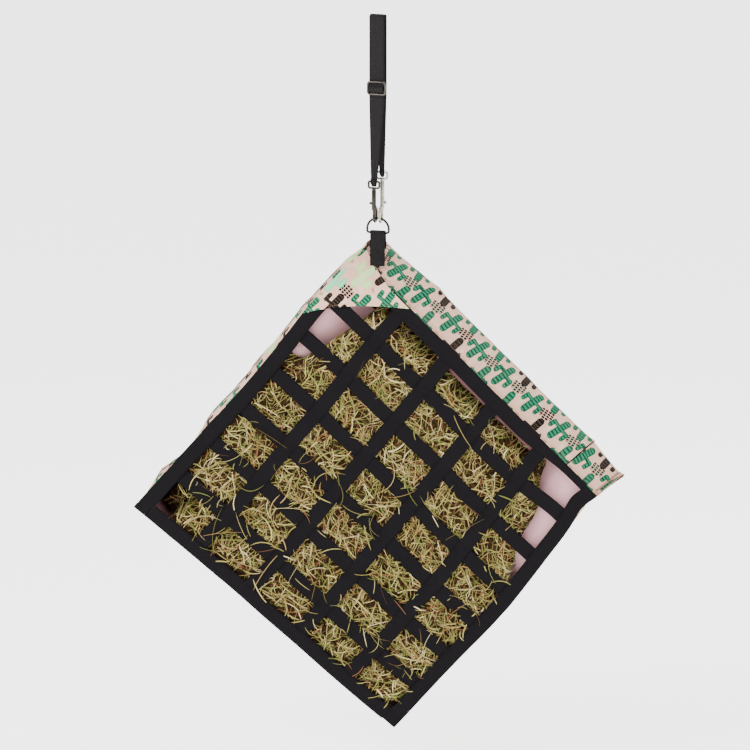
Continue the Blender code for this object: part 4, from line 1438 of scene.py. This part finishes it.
def arc(centre, radius, start_deg, end_deg, steps):
    """Points (y, z) on an arc, with 0 degrees towards +Y and 90 degrees up."""
    angles = np.radians(np.linspace(start_deg, end_deg, steps))
    return points_from(centre[0] + radius * np.cos(angles), centre[1] + radius * np.sin(angles))


def apart(line):
    """True for each point of a line that is not on top of the one before."""
    return np.concatenate([[True], np.linalg.norm(np.diff(line, axis=0), axis=1) > 0.05])


def straight(start, end, spacing=6.0):
    """Evenly spaced points from start to end."""
    count = max(int(math.dist(start, end) / spacing), 2)
    return np.linspace(start, end, count)


def eye_place(node):
    """(x, y, z) of the bar that a snap's eye hangs by."""
    low, high = node_box(node)
    middle = (low + high) / 2
    return np.array((middle[0], middle[1], high[2] - EYE_BAR))


def strap_band(name, line, eyes, shift=0.0):
    """Webbing across X along (y, z) points, gathered and shifted sideways towards its snap."""
    line = np.concatenate(line)
    line = line[apart(line)]
    centres = []
    widths = []
    for y, z in line:
        eye = eyes[0] if y < 0 else eyes[1]
        spread = min(max((z - eye[2] - 4) / BUNCHED_LENGTH, 0), 1) ** 0.85
        gathered = FRONT_GATHER if y < 0 else REAR_GATHER
        centres.append((eye[0] * (1 - spread), y, z))
        widths.append(gathered + (WEBBING - gathered) * spread)
    centres = np.array(centres)
    return band(name, centres, *crosswise(centres), widths, STRAP_WEB, shift=shift)


def blend_down(piece, start):
    """Bakes the piece's placement into its mesh. The height start is not used."""
    start * MM
    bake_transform(piece)


def make_gathers(side, eye, width, turn):
    """Folds of gathered webbing that fill a snap's eye."""
    angles = np.radians(np.linspace(20, -200, 16))
    for layer in (1, 2, 3):
        y = eye[1] + (turn + 0.45 * layer) * np.cos(angles)
        z = eye[2] + (turn + 1.7 * layer) * np.sin(angles)
        centres = points_from(np.full(16, eye[0] + 0.4 * (layer - 2)), y, z)
        name = f"strap_{side}_gather_{layer}"
        fold = band(name, centres, *crosswise(centres), [width - layer] * 16, STRAP_WEB, shift=300 * layer)
        ride(fold, body="hanger")


def make_strap():
    """The strap, folded in two at the top: one band through both eyes, and the front one's layers."""
    front = eye_place("front_snap_eye")
    rear = eye_place("rear_snap_eye")
    slider_low, slider_high = node_box("strap_slider")
    slider_y = (slider_low[1] + slider_high[1]) / 2
    slider_z = (slider_low[2] + slider_high[2]) / 2
    turn = EYE_BAR + CLEAR + THICK / 2
    tail = rear[1] - THICK - CLEAR
    fold = rear[1] - CROWN_FLAT / 2
    top = THICK / 2 - fold
    inner = front[1] + THICK + CLEAR
    line = [
        straight((inner, front[2] + 40), (inner, front[2] + 5)),
        arc((front[1], front[2]), turn, 0, -180, 14),
        straight((front[1], front[2] + 6), (front[1], -30.0)),
        straight((front[1], -28.0), (front[1], top - 2), 3),
        arc((-CROWN_FLAT / 2, top), fold, 180, 90, 10),
        arc((CROWN_FLAT / 2, top), fold, 90, 0, 10),
        straight((rear[1], top - 2), (rear[1], -28.0), 3),
        straight((rear[1], -30.0), (rear[1], rear[2] + 6)),
        arc((rear[1], rear[2]), turn, 0, -180, 14),
        straight((tail, rear[2] + 5), (tail, rear[2] + 38)),
    ]
    eyes = (front, rear)
    main = strap_band("strap_long_band", line, eyes)
    blend_down(main, -25.0)
    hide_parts("hanging_strap")
    make_gathers("front", front, FRONT_GATHER, turn)
    make_gathers("rear", rear, REAR_GATHER, turn)

    sewn = SLIDER_BAR + CLEAR + THICK / 2
    line = [
        arc((slider_y, slider_z), sewn, 250, -10, 14),
        straight((inner, slider_z - 6), (inner, front[2] + 41)),
    ]
    layer = strap_band("strap_inner_layer", line, eyes, shift=400)
    blend_down(layer, slider_z - 20)

    over = sewn + THICK + CLEAR
    outer = front[1] - 0.25
    line = [
        straight((outer, slider_z - 15), (outer, slider_z - 9), 2),
        arc((slider_y, slider_z), over, 235, 125, 14),
        straight((outer, slider_z + 9), (outer, slider_z + 15), 2),
    ]
    ride(strap_band("strap_slider_wrap", line, eyes, shift=800), body="slider")

    rows = []
    for z in (rear[2] + 14, rear[2] + 18, rear[2] + 30, rear[2] + 34):
        y = rear[1] + THICK / 2 + 0.05
        line = np.array([(rear[0] * 0.8 + x, y, z) for x in np.linspace(-7, 7, 8)])
        rows.append((line, np.tile((0.0, 1.0, 0.0), (8, 1))))
    stitches("rear_tail_stitches", rows, BLACK_THREAD, "hanger", pitch=2.6)


def make_tab():
    """The tab folded over the ring's bar: its front leg lies on the corner piece."""
    low, _ = node_box("ring_tab")
    bar_z = node_box("d_ring")[0][2] + RING_BAR
    turn = RING_BAR + CLEAR + THICK / 2
    corner = CENTRE - FALL * HALF + RISE * HALF
    z = np.linspace(low[2] + 7, corner[2], 22)
    distance = math.sqrt(2) * (corner[2] - z) + 8.0
    y = FRONT + pinched(distance) - 4.4
    line = list(zip(y, z))
    line += [tuple(point) for point in arc((0, bar_z), turn, 180, 0, 18)]
    line += [(turn + 1.0, bar_z - 6), (turn + 2.2, corner[2] + 2.5)]
    line = np.array(line)
    sidestep = 0.315  # how far the tab moves along X for each millimetre forward
    x = np.maximum(-line[:, 0] - turn, 0) * sidestep
    centres = points_from(x, line[:, 0], line[:, 1])
    fine = np.linspace(0, len(centres) - 1, 90)
    centres = np.stack([np.interp(fine, range(len(centres)), centres[:, k]) for k in range(3)], axis=-1)
    across, normals = crosswise(centres)
    widths = [WEBBING] * len(centres)
    ride(band("ring_tab_webbing", centres, across, normals, widths, STRAP_WEB, shift=950), "ring_tab")

    rows = []
    outward = -normals
    face = centres + outward * (THICK / 2 + 0.05)
    for inset in (2.6, 5.4, WEBBING - 5.4, WEBBING - 2.6):
        rows.append((face[2:44] + (inset - WEBBING / 2, 0, 0), outward[2:44]))
    for k in (2, 23, 44):
        across_line = [face[k] + (x, 0, 0) for x in (-9, 0, 9)]
        rows.append((np.array(across_line), outward[[k, k, k]]))
    stitches("tab_stitches", rows, BLACK_THREAD, pitch=2.8)


# --- the metal ------------------------------------------------------------------------------------


def refined(name, node, body, material, bevel=0.35):
    """The CAD node's own shape, welded, bevelled and shaded smooth."""
    source = frame["nodes"][node]
    item = bpy.data.objects.new(name, source.data.copy())
    item.data.materials.clear()
    item.data.materials.append(material)
    bpy.context.scene.collection.objects.link(item)
    weld = item.modifiers.new("weld", "WELD")
    weld.merge_threshold = 1e-6
    edge = item.modifiers.new("bevel", "BEVEL")
    edge.width = bevel * MM
    edge.segments = 2
    edge.limit_method = "ANGLE"
    edge.angle_limit = math.radians(40)
    graph = bpy.context.evaluated_depsgraph_get()
    done = bpy.data.meshes.new_from_object(item.evaluated_get(graph), depsgraph=graph)
    item.modifiers.clear()
    item.data = done
    done.shade_smooth()
    done.set_sharp_from_angle(angle=math.radians(48))
    ride(item, node, body=body)
    return item


def rounded_loop(half_width, half_height, corner):
    """Points (x, z) round a rectangle with round corners."""
    loop = []
    for k, (x, z) in enumerate(((1, 1), (-1, 1), (-1, -1), (1, -1))):
        middle = (x * (half_width - corner), z * (half_height - corner))
        loop += [tuple(point) for point in arc(middle, corner, 90 * k, 90 * k + 90, 9)]
    return np.array(loop)


def make_slider():
    """A three-bar slider: a rounded frame and a centre bar."""
    low, high = node_box("strap_slider")
    middle = (low + high) / 2
    wire = 1.8
    half_width, _, half_height = (high - low) / 2 - wire + 0.4
    loop = rounded_loop(half_width, half_height, 4.5)
    frame_path = points_from(loop[:, 0], 0 * loop[:, 0], loop[:, 1]) + middle
    reach = (high[0] - low[0]) / 2 - wire
    bar_path = np.array([(x, 0.0, 0.01 * abs(x) / reach) for x in np.linspace(-reach, reach, 9)]) + middle
    shape = gather(tube(frame_path, wire, 16, closed=True), tube(bar_path, SLIDER_BAR, 14))
    slider = make_piece("slider_metal", *shape, GUNMETAL)
    fix_normals(slider)
    ride(slider, "strap_slider", body="slider")


def make_snaps():
    """Both swivel snaps; each spring gets a mesh of its own."""
    # The front snap takes the dark copy of the nickel, which is painted shade.
    for name, metal in (("front_snap", SHADED_NICKEL), ("rear_snap", BRIGHT_NICKEL)):
        bolt = name.replace("snap", "bolt")
        refined(name + "_eye_metal", name + "_eye", "hanger", metal)
        refined(name + "_hook_metal", name + "_hook", name, metal)
        refined(name + "_bolt_metal", name + "_bolt", bolt, metal, 0.2)
        spring = refined(name + "_spring_wire", name + "_spring", name, SPRING_STEEL, 0.05)
        low, high = node_box(name + "_spring")
        travel = max(abs(limit) for limit in joint(bolt + "_slide")["range_m"]) / MM
        keep = 1 - travel / (high[2] - low[2])
        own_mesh(spring)


def make_ring():
    """The D-ring: half a circle over a straight bar, with round corners."""
    low, high = node_box("d_ring")
    wire = RING_BAR - 0.15
    radius = (high[0] - low[0]) / 2 - wire
    middle = np.array(((low[0] + high[0]) / 2, (low[1] + high[1]) / 2, high[2] - wire - radius))
    bar = low[2] + wire - middle[2]
    corner = 3.5
    loop = np.concatenate([
        arc((0, 0), radius, 0, 180, 40),
        arc((corner - radius, bar + corner), corner, 180, 270, 10),
        arc((radius - corner, bar + corner), corner, 270, 360, 10)[:-1],
    ])
    loop = loop[apart(loop)]
    points = points_from(loop[:, 0], np.zeros(len(loop)), loop[:, 1]) + middle
    ring = make_piece("d_ring_metal", *tube(points, wire, 20, closed=True), RING_NICKEL)
    fix_normals(ring)
    ride(ring, "d_ring", body="ring")


# --- the room ---------------------------------------------------------------------------------------


def plain(name, tint, roughness):
    """A surface of one colour, for the room only."""
    finish = Finish(name, roughness=roughness)
    finish.set("Base Color", tint)
    return finish.material


def make_room():
    """A wide pale floor under the bag, and soft lamps."""
    floor_z = cad_bounds[0].z / MM - 60
    reach = 60000.0
    points = [(-reach, -reach, floor_z), (reach, -reach, floor_z)]
    points += [(reach, reach, floor_z), (-reach, reach, floor_z)]
    faces = [(0, 1, 2, 3)]
    pale = plain("pale_floor", colour(250, 250, 250), 0.9)
    glow = pale.node_tree.nodes["Principled BSDF"]
    glow.inputs["Emission Color"].default_value = (1, 1, 1, 1)
    glow.inputs["Emission Strength"].default_value = 2.2
    sheet = make_piece("floor", points, faces, pale)

    world = bpy.data.worlds.new("studio")
    world.use_nodes = True
    world.node_tree.nodes["Background"].inputs["Color"].default_value = (1, 1, 1, 1)
    world.node_tree.nodes["Background"].inputs["Strength"].default_value = 1.35
    bpy.context.scene.world = world

    target = Vector((0, 0, -0.6))
    lamps = (
        ("key_lamp", (-1.5, -2.6, 1.7), 1.6, 120),
        ("fill_lamp", (2.4, -2.4, 0.2), 2.4, 30),
        ("back_lamp", (0.4, 2.0, 1.4), 2.0, 50),
    )
    for name, place, size, power in lamps:
        data = bpy.data.lights.new(name, "AREA")
        data.size = size
        data.energy = power
        lamp = bpy.data.objects.new(name, data)
        lamp.location = place
        lamp.rotation_euler = (target - Vector(place)).to_track_quat("-Z", "Y").to_euler()
        bpy.context.scene.collection.objects.link(lamp)


def make_dark_cards():
    """Dark cards out of sight, so that bright metal has something to mirror."""
    black = plain("dark_card", colour(8, 8, 9), 0.9)
    cards = (("left_card", -800.0, -1500.0, 380.0), ("right_card", 1000.0, -900.0, 300.0))
    for name, x, y, half in cards:
        points = [(x - half, y, -1100), (x + half, y, -1100), (x + half, y, 500), (x - half, y, 500)]
        card = make_piece(name, points, [(0, 1, 2, 3)], black)
        card.visible_camera = False
        card.visible_shadow = False
        card.visible_diffuse = False


def make_camera():
    """A long lens from the right of square and a little above."""
    azimuth, elevation = math.radians(17.5), math.radians(10.5)
    back = Vector((
        math.sin(azimuth) * math.cos(elevation),
        -math.cos(azimuth) * math.cos(elevation),
        math.sin(elevation),
    ))
    data = bpy.data.cameras.new("camera")
    data.lens = 1200
    view_height = 1.234
    distance = view_height * data.lens / data.sensor_width
    camera = bpy.data.objects.new("camera", data)
    camera.location = Vector((-0.0052, 0, -0.6011)) + back * distance
    camera.rotation_euler = (-back).to_track_quat("-Z", "Y").to_euler()
    data.clip_end = 100
    bpy.context.scene.collection.objects.link(camera)
    bpy.context.scene.camera = camera


make_upper_right()
make_flap_shadow_sheets()
make_upper_left()
make_lower_right()
make_lower_left()
make_back()
make_corner()
make_linings()
make_lining_fold("lining_right_fold", 1, 20.0, 262.0, 130.0)
make_lining_fold("lining_left_fold", -1, 30.0, 215.0, 76.0)
make_lining_hem()
make_net()
make_net_stitches()
make_hay_bed()
make_hay_blades()
make_hay_top()
make_hay_stalks()
make_strap()
make_tab()
make_snaps()
make_slider()
make_ring()
make_room()
make_dark_cards()
make_camera()
